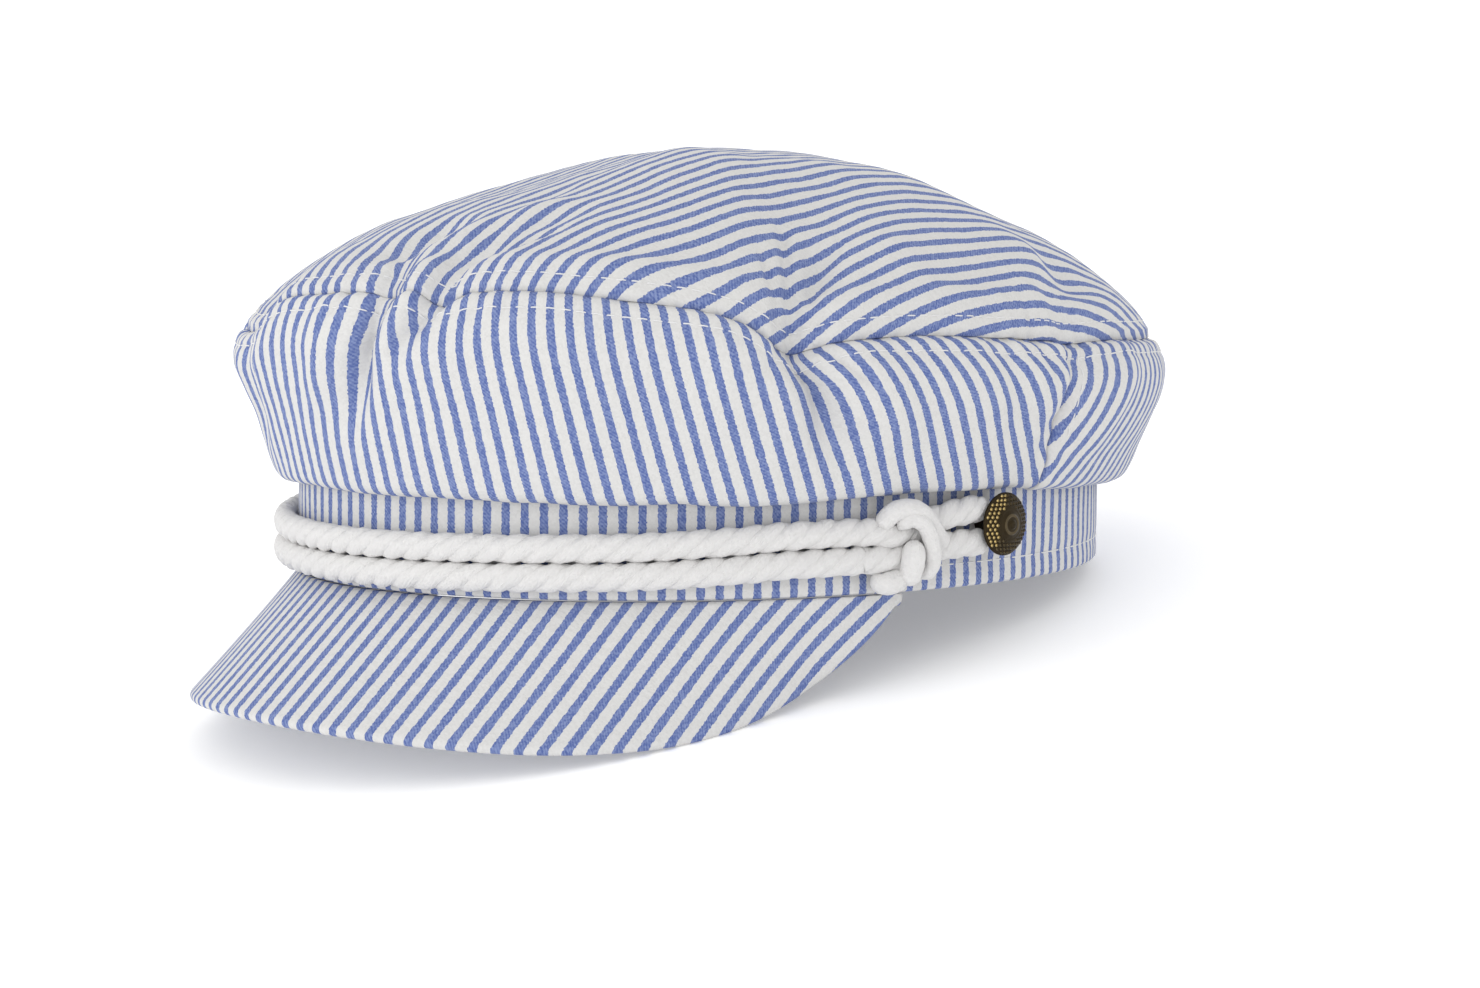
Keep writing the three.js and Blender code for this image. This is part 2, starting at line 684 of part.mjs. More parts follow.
// Stands a button's axis straight out from the band
function placeButton(mesh, side) {
  const angle = side * (knotAngle + buttonKnotSpacing / knotRate);
  mesh.position.copy(onBand(angle, 0, knotHeight + buttonRise));
  mesh.quaternion.setFromUnitVectors(new THREE.Vector3(0, 1, 0), bandDirections(angle).out);
}

const cotton = new THREE.MeshStandardMaterial({ color: 0xaab4d2, roughness: 0.9, metalness: 0 });
const bandCotton = new THREE.MeshStandardMaterial({ color: 0xa2add0, roughness: 0.9, metalness: 0 });
const peakCotton = new THREE.MeshStandardMaterial({ color: 0xb4bdd8, roughness: 0.88, metalness: 0 });
const whiteRope = new THREE.MeshStandardMaterial({ color: 0xefedea, roughness: 0.95, metalness: 0 });
const bronze = new THREE.MeshStandardMaterial({ color: 0x4a3f2a, roughness: 0.45, metalness: 1 });

function piece(name, geometry, material) {
  const mesh = new THREE.Mesh(geometry, material);
  mesh.name = name;
  return mesh;
}

const upright = new THREE.Group();
upright.add(piece('crown_top', crownTop(), cotton));
upright.add(piece('crown_side', crownSide(), cotton));
upright.add(piece('crown_back', crownBack(), cotton));
upright.add(piece('band', band(), bandCotton));
upright.add(piece('peak', peak(), peakCotton));
upright.add(piece('cord_upper', rope(0.5), whiteRope));
upright.add(piece('cord_lower', rope(-0.5), whiteRope));
for (const [name, side] of [['left', 1], ['right', -1]]) {
  upright.add(piece(`knot_${name}`, knot(side), whiteRope));
  const mesh = piece(`button_${name}`, button(), bronze);
  placeButton(mesh, side);
  upright.add(mesh);
}

// At rest the cap tips back about the rear of its band until the peak's lowest edge meets the surface
const restAngle = Math.max(...spread(-peakHalfAngle, peakHalfAngle, peakColumns).flatMap(peakSection)
  .map((point) => Math.atan2(-point.z, bandHalfLength - point.y)));
upright.rotation.x = -restAngle;

const cap = new THREE.Group();
cap.add(upright);
cap.updateMatrixWorld(true);
const extent = new THREE.Box3().setFromObject(cap, true);
upright.position.set(0, -(extent.min.y + extent.max.y) / 2, -extent.min.z);

export default cap;
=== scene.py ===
import math

import bpy
import numpy as np
from mathutils import Matrix, Vector


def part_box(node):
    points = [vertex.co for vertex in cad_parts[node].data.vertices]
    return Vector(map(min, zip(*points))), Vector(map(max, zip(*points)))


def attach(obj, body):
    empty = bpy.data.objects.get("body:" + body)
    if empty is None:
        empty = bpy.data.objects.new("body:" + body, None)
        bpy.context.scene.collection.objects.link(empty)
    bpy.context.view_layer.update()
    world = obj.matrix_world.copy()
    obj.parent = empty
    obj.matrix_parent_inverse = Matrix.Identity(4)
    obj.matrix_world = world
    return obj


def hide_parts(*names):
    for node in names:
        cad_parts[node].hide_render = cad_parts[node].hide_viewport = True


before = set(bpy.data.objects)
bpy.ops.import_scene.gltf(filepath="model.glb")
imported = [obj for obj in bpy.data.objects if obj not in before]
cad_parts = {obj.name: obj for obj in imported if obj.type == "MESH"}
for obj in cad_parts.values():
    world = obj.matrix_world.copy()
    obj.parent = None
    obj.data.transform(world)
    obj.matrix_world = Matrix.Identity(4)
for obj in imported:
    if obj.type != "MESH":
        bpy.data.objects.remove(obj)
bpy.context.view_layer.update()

# The cap is shaped upright in millimetres, with its front along -Y and the wearer's left along +X.
# Angles are degrees round the band from the front centre, positive to the wearer's left. At the end
# every point is turned into the resting place of the loaded frame, in metres.

# Sizes in millimetres

BAND_LENGTH = 210.4
BAND_WIDTH = 166
BAND_HEIGHT = 26
BAND_THICKNESS = 2.2
BAND_HALF_LENGTH = BAND_LENGTH / 2
BAND_HALF_WIDTH = BAND_WIDTH / 2

CLOTH_THICKNESS = 1.6
CLEARANCE = 0.3
SEAM_GAP = 0.12

FOLD_HEIGHT = 21.5
SEAM_HEIGHT = 58
CROWN_HEIGHT = 99.3
CROWN_OVERHANG = 16.4
CROWN_CENTRE_SETBACK = 4
EVEN_SEAM_BACK = 0.95
EVEN_SEAM_FRONT = 1.06
WALL_DENT_FADE = 0.12
DENT_DEPTH = 4
DENT_WIDTH = 6
BACK_SEAM_ANGLE = 105

PEAK_LENGTH = 39
PEAK_THICKNESS = 2.8
PEAK_HALF_ANGLE = 84.5
PEAK_SLOPE = 43
PEAK_SIDE_SLOPE = 62
PEAK_STEEPEST = 88
PEAK_STEEPEST_UNDERSIDE = 60
PEAK_CORNERING = 3.2
PEAK_END_ROUNDING = 0.8
PEAK_TUCK = 1.8

ROPE_DIAMETER = 6.1
ROPE_SPACING = 6.4
ROPE_LAY = 17.4
ROPE_PLUMPNESS = 1.08
ROPE_FLATNESS = 0.84
UPPER_LEVEL = 0.5
LOWER_LEVEL = -0.5
KNOT_ANGLE = 84
KNOT_HALF_WIDTH = 12.7
KNOT_RUN_DIAMETER = 5.8
KNOT_OUTER_DIAMETER = 4.6
KNOT_INNER_DIAMETER = 3.8
KNOT_UPRIGHT_DIAMETER = 5.4

BUTTON_KNOT_SPACING = 26.2
BUTTON_RISE = 3.4
BUTTON_DIAMETER = 14.5
BUTTON_DOME = 2.5
BUTTON_RIM = 0.8
BUTTON_SHANK_DIAMETER = 5.5

STRIPE_PITCH = 4.35
STRIPE_SHARE = 0.43
SIDE_PANEL_RADIUS = 248
SIDE_PANEL_MIDDLE = 12
PEAK_FLAT_TURN = 0.65

STITCH_LENGTH = 2.3
STITCH_PITCH = 3.3
STITCH_RADIUS = 0.17
STITCH_SIDES = 6
FIRST_STITCH = 0.3
TOPSTITCH_DISTANCE = 4.6
BAND_STITCH_HEIGHT = 5.5


def table(columns, rows):
    """Rows of numbers as one array for each named column."""
    return dict(zip(columns.split(), np.array(rows, float).T))


# Height of the top seam, as a share of SEAM_HEIGHT
SEAM_LINE = table("angle height", [
    (-170, 0.92), (-140, 0.93), (-118, 0.965), (-98, 0.99), (-80, 1.01), (-62, 1.02), (-45, 1.04),
    (-30, 0.99), (-16, 0.99), (-4, 1.13), (9, 1.16), (20, 1.18), (25, 1.145), (29, 1.18), (36, 1.185),
    (45, 1.16), (54, 1.125), (60, 1.075), (66, 0.98), (71, 0.993), (80, 1.015), (94, 1.0),
    (106, 0.97), (120, 0.96), (140, 0.94), (160, 0.93),
])

# Height of the crown's lowest fold, as a share of FOLD_HEIGHT
FOLD_LINE = table("angle height", [
    (-170, 0.93), (-124, 0.93), (-100, 1.04), (-84, 1.05), (-66, 1.0), (-30, 1.02),
    (30, 1.02), (66, 1.0), (84, 1.05), (100, 1.04), (124, 0.93), (170, 0.93),
])

# How far a section follows the front shape of the crown, 1, or the back shape, 0
FRONT_SHARE = table("angle share", [
    (-120, 0), (-75, 0.5), (-40, 1), (-10, 1), (20, 0.9), (60, 0.5), (90, 0.1), (120, 0), (180, 0),
])

# The side wall from its hem on top of the band, under the fold, and up to the seam: hem is a share of
# the height from fold to hem, rise of the height from fold to seam, back and front of CROWN_OVERHANG
WALL_PROFILE = table("hem rise back front", [
    (1, 0, -0.07, -0.07),
    (1, 0, 0.012, 0.012),
    (0.75, 0, 0.048, 0.048),
    (0.04, 0, 0.125, 0.12),
    (0, 0, 0.24, 0.21),
    (0, 0.03, 0.38, 0.31),
    (0, 0.1, 0.48, 0.38),
    (0, 0.24, 0.61, 0.49),
    (0, 0.42, 0.79, 0.63),
    (0, 0.6, 0.95, 0.8),
    (0, 0.76, 1.0, 0.935),
    (0, 0.9, 0.91, 0.9),
    (0, 1.0, 0.75, 0.75),
])
WALL_PROFILE["v"] = np.linspace(0, 1, len(WALL_PROFILE["hem"]))
FOLD_ROW = 4 / 12

# How far a section of the dome follows its fuller side shape, 1, or not, 0
SIDE_SHARE = table("angle share", [
    (-120, 0.3), (-100, 1), (-75, 0.8), (-50, 0.2), (-35, 0), (-10, 0), (0, 0.1), (20, 0.5), (45, 1),
    (105, 1), (125, 0.55), (145, 0.1), (170, 0),
])

# The dome from the seam to its centre: inward is a share of that distance, back, front and side are
# shares of the rise from the seam to the crown's top, and the last row is past the centre
DOME_PROFILE = table("inward back front side", [
    (0, 0, 0, 0), (0.035, 0.13, 0.11, 0.2), (0.09, 0.265, 0.24, 0.3), (0.2, 0.45, 0.425, 0.515),
    (0.33, 0.59, 0.58, 0.69), (0.5, 0.77, 0.71, 0.875), (0.65, 0.89, 0.82, 0.955),
    (0.82, 0.975, 0.95, 0.99), (1, 1, 1, 1), (1.18, 0.975, 0.95, 0.985),
])

# Dents (positive) and ridges (negative) of the side wall, each from a low point to a high one: rise is
# a share of the wall from fold to seam, depth of DENT_DEPTH and width of DENT_WIDTH. Finer creases follow.
WALL_DENTS = table("low_angle low_rise high_angle high_rise depth width", [
    (10, 0.4, 17.5, 1.1, 0.9, 0.7),
    (4, 0.5, 9, 1.0, -0.45, 0.9),
    (19, 0.68, 25, 1.1, 0.85, 0.6),
    (72, 0.3, 66.5, 1.05, 1.1, 0.75),
    (80, 0.35, 74, 0.95, -0.5, 1.1),
    (60, 0.45, 58, 0.95, -0.3, 1.2),
    (-20, 0.3, -12, 1.0, 0.5, 1.1),
    (-36, 0.45, -31, 1.05, 0.6, 0.9),
    (98, 0.3, 93, 0.95, 0.35, 0.8),
    (104, 0.25, 106, 1.0, 0.7, 0.7),
    (112, 0.25, 118, 0.95, -0.35, 1.0),
    (-70, 0.3, -66, 1.0, 0.8, 0.9),
    (-88, 0.35, -82, 0.95, -0.35, 1.1),
    (-104, 0.25, -106, 1.0, 0.7, 0.7),
    (148, 0.3, 150, 0.95, 0.45, 1.3),
    (-140, 0.3, -146, 0.95, 0.5, 1.3),

    (12, 0.62, 18, 1.05, 0.25, 0.22),
    (21, 0.8, 26, 1.05, 0.3, 0.2),
    (29, 0.84, 31, 1.05, 0.15, 0.25),
    (70.5, 0.5, 66.5, 1.05, 0.6, 0.28),
    (75, 0.72, 68.5, 1.05, 0.3, 0.25),
    (63, 0.78, 65.5, 1.05, 0.25, 0.25),
    (12, 0.5, 15, 1.0, 0.3, 0.2),
    (5.5, 0.72, 11, 1.05, 0.22, 0.25),
    (33, 0.86, 34, 1.05, 0.12, 0.2),
    (101, 0.75, 99, 1.05, 0.2, 0.2),
    (97, 0.78, 95, 1.05, -0.15, 0.25),
    (108.5, 0.72, 109, 1.05, 0.2, 0.25),
    (-14, 0.6, -10, 1.05, 0.2, 0.25),
    (-31, 0.65, -28, 1.05, 0.2, 0.25),
])

# Dents (positive) and ridges (negative) of the dome, seen from above: x is a share of half the band's
# width, y of half its length, depth of DENT_DEPTH and width of DENT_WIDTH. Finer creases follow.
DOME_DENTS = table("x y to_x to_y depth width", [
    (0.22, -1.02, 0.22, -0.84, 0.7, 0.8),
    (0.44, -0.97, 0.5, -0.7, 0.6, 0.9),
    (0.36, -0.92, 0.42, -0.68, -0.4, 0.9),
    (1.06, -0.43, 0.88, -0.26, 0.75, 0.75),
    (0.88, -0.24, 0.55, -0.04, 0.45, 1.6),
    (0.98, -0.52, 0.62, -0.3, -0.3, 1.3),
    (0.55, -0.26, 0.1, -0.2, -0.35, 1.8),
    (1.1, 0.18, 0.85, 0.36, -0.5, 1.2),
    (1.12, 0.3, 0.9, 0.46, 0.5, 1.0),
    (1.08, -0.12, 0.9, -0.08, -0.3, 1.2),
    (-0.3, -1.0, -0.2, -0.7, 0.5, 1.1),
    (-1.02, -0.4, -0.7, -0.25, 0.7, 1.2),
    (-1.05, 0.25, -0.8, 0.35, 0.45, 1.2),
    (-0.2, 0.3, 0.4, 0.45, 0.4, 2.2),

    (1.06, -0.45, 0.8, -0.31, 0.45, 0.28),
    (1.05, -0.43, 0.88, -0.2, 0.3, 0.25),
    (1.05, -0.47, 0.86, -0.42, 0.28, 0.24),
    (0.24, -1.05, 0.28, -0.84, 0.3, 0.25),
    (0.33, -1.03, 0.4, -0.8, 0.22, 0.25),
    (0.46, -1.0, 0.56, -0.76, 0.3, 0.25),
])

# Cloth that the side wall's folds take in, from a low point to a high one where it is most: before and
# after are what the cloth moves in from either side, as shares of DENT_WIDTH, reach is how far it is felt
# beside the fold, in DENT_WIDTH, and dome the share of it that the top panel takes in above the seam
WALL_TUCKS = table("low_angle low_rise high_angle high_rise before after reach dome", [
    (8, 0.05, 17.5, 1.05, 1.45, 0, 9, 1),
    (19, 0.5, 25, 1.05, 0.3, -0.45, 5, 1.5),
    (72, 0.45, 66.5, 1.05, 0, 0.8, 6, 0),
    (-20, 0.3, -12, 1.05, 0.7, 0, 6, 1),
    (-36, 0.45, -31, 1.05, 0.6, 0.2, 6, 1),
    (-70, 0.3, -66, 1.05, 0.8, 0.8, 6, 0),
    (105, 0.3, 105, 1.05, 0, 0.7, 6, 0),
    (-105, 0.3, -105, 1.05, 0.7, 0, 6, 0),
])
TOP_TUCK_REACH = 28

# Height of the line midway between the two ropes, as a share of FOLD_HEIGHT
ROPE_LINE = table("angle height", [
    (-74, 0.526), (-66, 0.507), (-61, 0.474), (-46, 0.412), (0, 0.356),
    (46, 0.412), (61, 0.474), (66, 0.507), (74, 0.526),
])

# Routes of the knot's strands: along the band toward the back from the knot's middle and out from the
# band in rope diameters, up from the line between the ropes in rope spacings
ROUTE_COLUMNS = "along up out"
KNOT_ARCH_OUTER = table(ROUTE_COLUMNS, [
    (-1.31, 0.6, 0.48), (-1.22, 0.93, 0.77), (-1.01, 1.2, 0.98), (-0.68, 1.32, 1.13), (-0.31, 1.3, 1.2),
    (0.06, 1.13, 1.22), (0.42, 0.84, 1.14), (0.8, 0.48, 0.98), (1.2, 0.16, 0.78), (1.7, -0.03, 0.55),
])
KNOT_ARCH_INNER = table(ROUTE_COLUMNS, [
    (-0.66, 0.58, 0.84), (-0.59, 0.85, 1.1), (-0.37, 0.96, 1.3), (-0.01, 0.82, 1.38), (0.24, 0.5, 1.4),
    (0.4, 0.11, 1.38), (0.53, -0.3, 1.31), (0.6, -0.67, 1.18), (0.5, -0.96, 1.0), (0.22, -1.15, 0.78),
])
KNOT_UPRIGHT = table(ROUTE_COLUMNS, [
    (-0.01, 0.14, 0.93), (-0.19, -0.14, 1.12), (-0.27, -0.48, 1.2), (-0.28, -0.84, 1.1),
    (-0.26, -1.12, 0.9), (-0.24, -1.3, 0.65),
])
KNOT_LOOP = table(ROUTE_COLUMNS, [
    (-0.3, -0.9, 0.6), (-0.65, -1.2, 0.72), (-1.05, -1.3, 0.74), (-1.4, -1.24, 0.66), (-1.6, -1.0, 0.54),
])
KNOT_UPPER_ROPE = [
    (-1.6, 0.48, 0.5), (-0.7, 0.36, 0.52), (0.1, 0.46, 0.54), (1.0, 0.74, 0.53), (1.9, 0.95, 0.5),
    (2.8, 1.05, 0.5),
]
KNOT_LOWER_ROPE = [
    (-1.4, -0.48, 0.5), (-0.5, -0.46, 0.52), (0.4, -0.36, 0.53), (1.3, -0.18, 0.52), (2.2, -0.12, 0.5),
]
UPPER_RUN_END = 1.12
LOWER_RUN_END = -0.1
RUN_END_OUT = 0.5


def wrapped(angle):
    return (angle + 180) % 360 - 180


def lerp(a, b, share):
    return a + (b - a) * share


def smoothstep(value, low, high):
    u = np.clip((value - low) / (high - low), 0, 1)
    return u * u * (3 - 2 * u)


def bell(distance, width):
    return np.exp(-((distance / width) ** 2))


def along(rows, x, y, at):
    """Smooth curve through table rows: x and y name the columns."""
    xs, ys = rows[x], rows[y]
    last = len(xs) - 1
    value = np.clip(at, xs[0], xs[-1])
    k = np.clip(np.searchsorted(xs, value) - 1, 0, last - 1)
    before, after, beyond = np.maximum(k - 1, 0), k + 1, np.minimum(k + 2, last)
    slope_here = (ys[after] - ys[before]) / (xs[after] - xs[before])
    slope_next = (ys[beyond] - ys[k]) / (xs[beyond] - xs[k])
    width = xs[after] - xs[k]
    u = (value - xs[k]) / width
    rise = (3 - 2 * u) * u * u
    bend = u * (1 - u) * width
    return ys[k] * (1 - rise) + ys[after] * rise + bend * ((1 - u) * slope_here - u * slope_next)


def around(rows, y, angle):
    """The same round the whole cap: the rows repeat after a full turn."""
    turns = np.concatenate([rows["angle"] + turn for turn in (-360, 0, 360)])
    full = {"angle": turns, y: np.tile(rows[y], 3)}
    return along(full, "angle", y, wrapped(np.asarray(angle, float)))


def on_band(angle, out, up):
    """Points at an angle round the band, out from its outer face and up from its lower edge."""
    t = np.radians(angle)
    parts = (BAND_HALF_WIDTH + out) * np.sin(t), -(BAND_HALF_LENGTH + out) * np.cos(t), up
    return np.stack(np.broadcast_arrays(*parts), -1)


def band_out(angle):
    """Unit vectors straight out from the band's face."""
    t = np.radians(angle)
    out = np.stack([np.sin(t) / BAND_HALF_WIDTH, -np.cos(t) / BAND_HALF_LENGTH, 0 * t], -1)
    return unit(out)


def unit(vectors):
    return vectors / np.linalg.norm(vectors, axis=-1, keepdims=True)


def length_along(points, axis):
    """Length from the first point to each one, along one axis of a grid of points."""
    steps = np.linalg.norm(np.diff(points, axis=axis), axis=-1)
    start = np.zeros_like(np.take(steps, [0], axis=axis))
    return np.concatenate([start, np.cumsum(steps, axis=axis)], axis=axis)


def place_along(at, lengths, points):
    """Points, or directions, part of the way along a line, at given lengths."""
    return np.stack([np.interp(at, lengths, column) for column in points.T], -1)


MM_PER_DEGREE = math.radians((BAND_HALF_LENGTH + BAND_HALF_WIDTH) / 2 + CROWN_OVERHANG)
DENT_FADE = 0.25


def dent_at(depth, width, along_it, beside):
    """Depth of a dent, fading out at both ends, at a distance along it (0 to 1) and beside it."""
    start = smoothstep(along_it, -DENT_FADE, DENT_FADE)
    end = 1 - smoothstep(along_it, 1 - DENT_FADE, 1 + DENT_FADE)
    return depth * DENT_DEPTH * start * end * bell(beside, width * DENT_WIDTH)


def wall_dent_depth(angle, rise):
    turned = wrapped(angle)
    depth = 0
    for low_angle, low_rise, high_angle, high_rise, deep, wide in zip(*WALL_DENTS.values()):
        along_it = (rise - low_rise) / (high_rise - low_rise)
        middle = lerp(low_angle, high_angle, along_it)
        depth = depth + dent_at(deep, wide, along_it, (turned - middle) * MM_PER_DEGREE)
    return depth


def dome_dent_depth(point):
    scale = np.array([BAND_HALF_WIDTH, BAND_HALF_LENGTH])
    depth = 0
    for x, y, to_x, to_y, deep, wide in zip(*DOME_DENTS.values()):
        start = np.array([x, y]) * scale
        line = np.array([to_x, to_y]) * scale - start
        offset = point[..., :2] - start
        along_it = offset @ line / (line @ line)
        beside = (offset[..., 0] * line[1] - offset[..., 1] * line[0]) / np.linalg.norm(line)
        depth = depth + dent_at(deep, wide, along_it, beside)
    return depth


def crown_form(angle, v):
    """The crown's smooth outer face and its dents: v is 0 at the hem, 1 at the seam, 2 at the top."""
    angle, v = np.broadcast_arrays(np.asarray(angle, float), np.asarray(v, float))
    front = around(FRONT_SHARE, "share", angle)
    fold = FOLD_HEIGHT * around(FOLD_LINE, "height", angle)
    seam = SEAM_HEIGHT * around(SEAM_LINE, "height", angle)
    on_wall = np.minimum(v, 1)
    hem, rise, back_out, front_out = (
        along(WALL_PROFILE, "v", column, on_wall) for column in ("hem", "rise", "back", "front")
    )
    height = fold + (BAND_HEIGHT + CLEARANCE - fold) * hem + (seam - fold) * rise
    wall = on_band(angle, lerp(back_out, front_out, front) * CROWN_OVERHANG, height)
    inward = np.maximum(v - 1, 0)
    back_climb, front_climb, side_climb = (
        along(DOME_PROFILE, "inward", column, inward) for column in ("back", "front", "side")
    )
    climb = lerp(lerp(back_climb, front_climb, front), side_climb, around(SIDE_SHARE, "share", angle))
    centre = np.array([0, CROWN_CENTRE_SETBACK, 0])
    dome = lerp(wall, centre, inward[..., None])
    even_seam = SEAM_HEIGHT * lerp(EVEN_SEAM_BACK, EVEN_SEAM_FRONT, front)
    top = even_seam + (CROWN_HEIGHT - even_seam) * climb + (wall[..., 2] - even_seam) * (1 - inward) ** 3
    is_dome = v > 1
    point = wall.copy()
    point[is_dome] = np.concatenate([dome[..., :2], top[..., None]], -1)[is_dome]
    near_seam = np.where(is_dome, 1 - smoothstep(inward, 0, WALL_DENT_FADE), 1)
    return point, lerp(dome_dent_depth(point), wall_dent_depth(angle, rise), near_seam)


def crown_normal(angle, v):
    """Unit vectors out from the crown's smooth outer face, over a small turn and a small step of v."""
    turn, step = 0.5, 0.01
    across = crown_form(angle + turn, v)[0] - crown_form(angle - turn, v)[0]
    upward = crown_form(angle, v + step)[0] - crown_form(angle, np.maximum(v - step, 0))[0]
    return unit(np.cross(across, upward))


# The section along which the rows of the crown's panels are evenly spaced
SECTION_ANGLE = 20


def even_rows(start, end, count):
    """Values of v from start to end, evenly spaced along the crown's section."""
    fine = np.linspace(start, end, 2000)
    length = length_along(crown_form(SECTION_ANGLE, fine)[0], 0)
    return np.interp(np.linspace(0, length[-1], count), length, fine)


def half_gap_beside_seam(side):
    """Half the gap at the top seam as a step of v, below the seam (-1) or above it (1)."""
    step = 0.01
    at_seam, beside = (crown_form(SECTION_ANGLE, v)[0] for v in (1, 1 + side * step))
    return SEAM_GAP / 2 / (np.linalg.norm(beside - at_seam) / step)


# How far the cloth sinks at a seam and along its topstitching, and puffs up (negative) between the two
SEAM_RELIEF = table("distance depth width", [
    (0, 0.8, 0.8), (2.3, -0.22, 1.5), (TOPSTITCH_DISTANCE, 0.2, 0.7),
])


def seam_relief(distance):
    relief = 0
    for place, depth, width in zip(*SEAM_RELIEF.values()):
        relief = relief + depth * bell(distance - place, width)
    return relief


# Small gathers that a seam draws into the cloth beside it
PUCKER_DEPTH = 0.14
PUCKER_REACH = 6
BACK_SEAM_PUCKERS = 1.6
DOME_PUCKER_SHIFT = 2


def puckers(along_seam, distance):
    wander = 1.9 * np.sin(along_seam / 9.1) + 1.2 * np.sin(along_seam / 4.3 + 1)
    return PUCKER_DEPTH * np.exp(-distance / PUCKER_REACH) * np.sin(along_seam + wander)


def slack(a, b):
    """The soft unevenness of cotton cloth: waves from a few millimetres to a few centimetres long."""
    return (
        0.22 * np.sin(a / 5.2 + 1.3 * np.sin(b / 8.7)) * np.sin(b / 7.3 + 0.6)
        + 0.3 * np.sin(a / 11.7 + b / 16.1 + 0.9) * np.sin(b / 9.9 - a / 23)
        + 0.08 * np.sin(a / 2.1 + np.sin(b / 3.3)) * np.sin(b / 2.9 + 1.9)
    )


# The resting place: the band's tilt and shift are read from the loaded frame

low, high = (np.array(corner) * 1000 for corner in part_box("band"))
band_diagonal = math.hypot(BAND_LENGTH, BAND_HEIGHT)
tilt = math.asin((high[2] - low[2]) / band_diagonal) - math.atan2(BAND_HEIGHT, BAND_LENGTH)
turn_to_rest = np.array(Matrix.Rotation(-tilt, 3, "X"))
band_rim = np.concatenate([on_band(np.arange(0, 360, 5.625), 0, h) for h in (0, BAND_HEIGHT)])
shift_to_rest = low - (band_rim @ turn_to_rest.T).min(0)


def to_rest(points):
    """Points of the upright cap in millimetres as points of the resting one in metres."""
    return (np.asarray(points, float) @ turn_to_rest.T + shift_to_rest) / 1000


# Meshes

def add_mesh(name, points, faces, material, uv=None):
    data = bpy.data.meshes.new(name)
    data.from_pydata(to_rest(points).tolist(), [], faces.tolist() if hasattr(faces, "tolist") else faces)
    data.materials.append(material)
    data.polygons.foreach_set("use_smooth", [True] * len(data.polygons))
    if uv is not None:
        corners = np.zeros(len(data.loops), int)
        data.loops.foreach_get("vertex_index", corners)
        layer = data.uv_layers.new(name="Cloth")
        layer.data.foreach_set("uv", np.asarray(uv, np.float32)[corners].ravel())
    piece = bpy.data.objects.new(name, data)
    bpy.context.scene.collection.objects.link(piece)
    return piece


def finish_piece(piece, node=None):
    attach(piece, "root")
    if node:
        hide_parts(node)
    return piece


def grid_faces(sections, size, is_loop):
    """Quads between neighbouring sections, each closed round its own points."""
    joins = sections if is_loop else sections - 1
    i = np.arange(joins)[:, None] * size
    n = ((np.arange(joins) + 1) % sections)[:, None] * size
    j = np.arange(size)[None]
    k = (j + 1) % size
    return np.stack([i + j, n + j, n + k, i + k], -1).reshape(-1, 4)


def loft(points, is_loop):
    """Faces of a closed solid through sections whose halves lie on two facing sides."""
    sections, size = points.shape[:2]
    faces = [grid_faces(sections, size, is_loop)]
    if not is_loop:
        j = np.arange(size // 2 - 1)
        strip = np.stack([j, j + 1, size - 2 - j, size - 1 - j], -1)
        faces += [strip, (sections - 1) * size + strip[:, ::-1]]
    faces = np.concatenate(faces)
    flat = points.reshape(-1, 3)
    a, b, c, d = (flat[faces[:, n]] for n in range(4))
    volume = (np.cross(b, c) * a).sum() + (np.cross(c, d) * a).sum()
    return faces if volume > 0 else faces[:, ::-1]


def join(parts):
    """The points, the faces and what else each of several meshes has, as those of one mesh."""
    points, faces, *others = zip(*parts)
    starts = np.cumsum([0] + [len(part) for part in points[:-1]])
    moved = [part + start for part, start in zip(faces, starts)]
    return [np.concatenate(group) for group in (points, moved, *others)]


# Materials

def new_material(name):
    material = bpy.data.materials.new(name)
    material.use_nodes = True
    tree = material.node_tree
    return material, tree, tree.nodes["Principled BSDF"]


def set_inputs(node, values):
    for name, value in values.items():
        node.inputs[name].default_value = value


def feed(tree, sockets, values):
    """Give each socket its value: the output of another node, a number or a colour."""
    for socket, value in zip(sockets, values):
        if isinstance(value, bpy.types.NodeSocket):
            tree.links.new(value, socket)
        else:
            socket.default_value = value


def math_node(tree, operation, *values):
    made = tree.nodes.new("ShaderNodeMath")
    made.operation = operation
    feed(tree, made.inputs, values)
    return made.outputs[0]


def combine(tree, x, y, z=0.0):
    made = tree.nodes.new("ShaderNodeCombineXYZ")
    feed(tree, made.inputs, (x, y, z))
    return made.outputs[0]


def noise(tree, vector, scale, detail=2.0, roughness=0.5):
    made = tree.nodes.new("ShaderNodeTexNoise")
    set_inputs(made, {"Scale": scale, "Detail": detail, "Roughness": roughness})
    tree.links.new(vector, made.inputs["Vector"])
    return made.outputs["Fac"]


def speckle(tree, vector):
    made = tree.nodes.new("ShaderNodeTexWhiteNoise")
    made.noise_dimensions = "3D"
    tree.links.new(vector, made.inputs["Vector"])
    return made.outputs["Value"]


def mix_colour(tree, factor, a, b):
    made = tree.nodes.new("ShaderNodeMix")
    made.data_type = "RGBA"
    feed(tree, [made.inputs[n] for n in (0, 6, 7)], (factor, a, b))
    return made.outputs[2]


def cloth_place(tree):
    """The cloth's own coordinates in millimetres: across the stripes and along them."""
    uv = tree.nodes.new("ShaderNodeUVMap")
    uv.uv_map = "Cloth"
    split = tree.nodes.new("ShaderNodeSeparateXYZ")
    tree.links.new(uv.outputs[0], split.inputs[0])
    return split.outputs[0], split.outputs[1]


def bump(tree, shader, height, distance, strength):
    made = tree.nodes.new("ShaderNodeBump")
    set_inputs(made, {"Distance": distance, "Strength": strength})
    tree.links.new(height, made.inputs["Height"])
    tree.links.new(made.outputs[0], shader.inputs["Normal"])


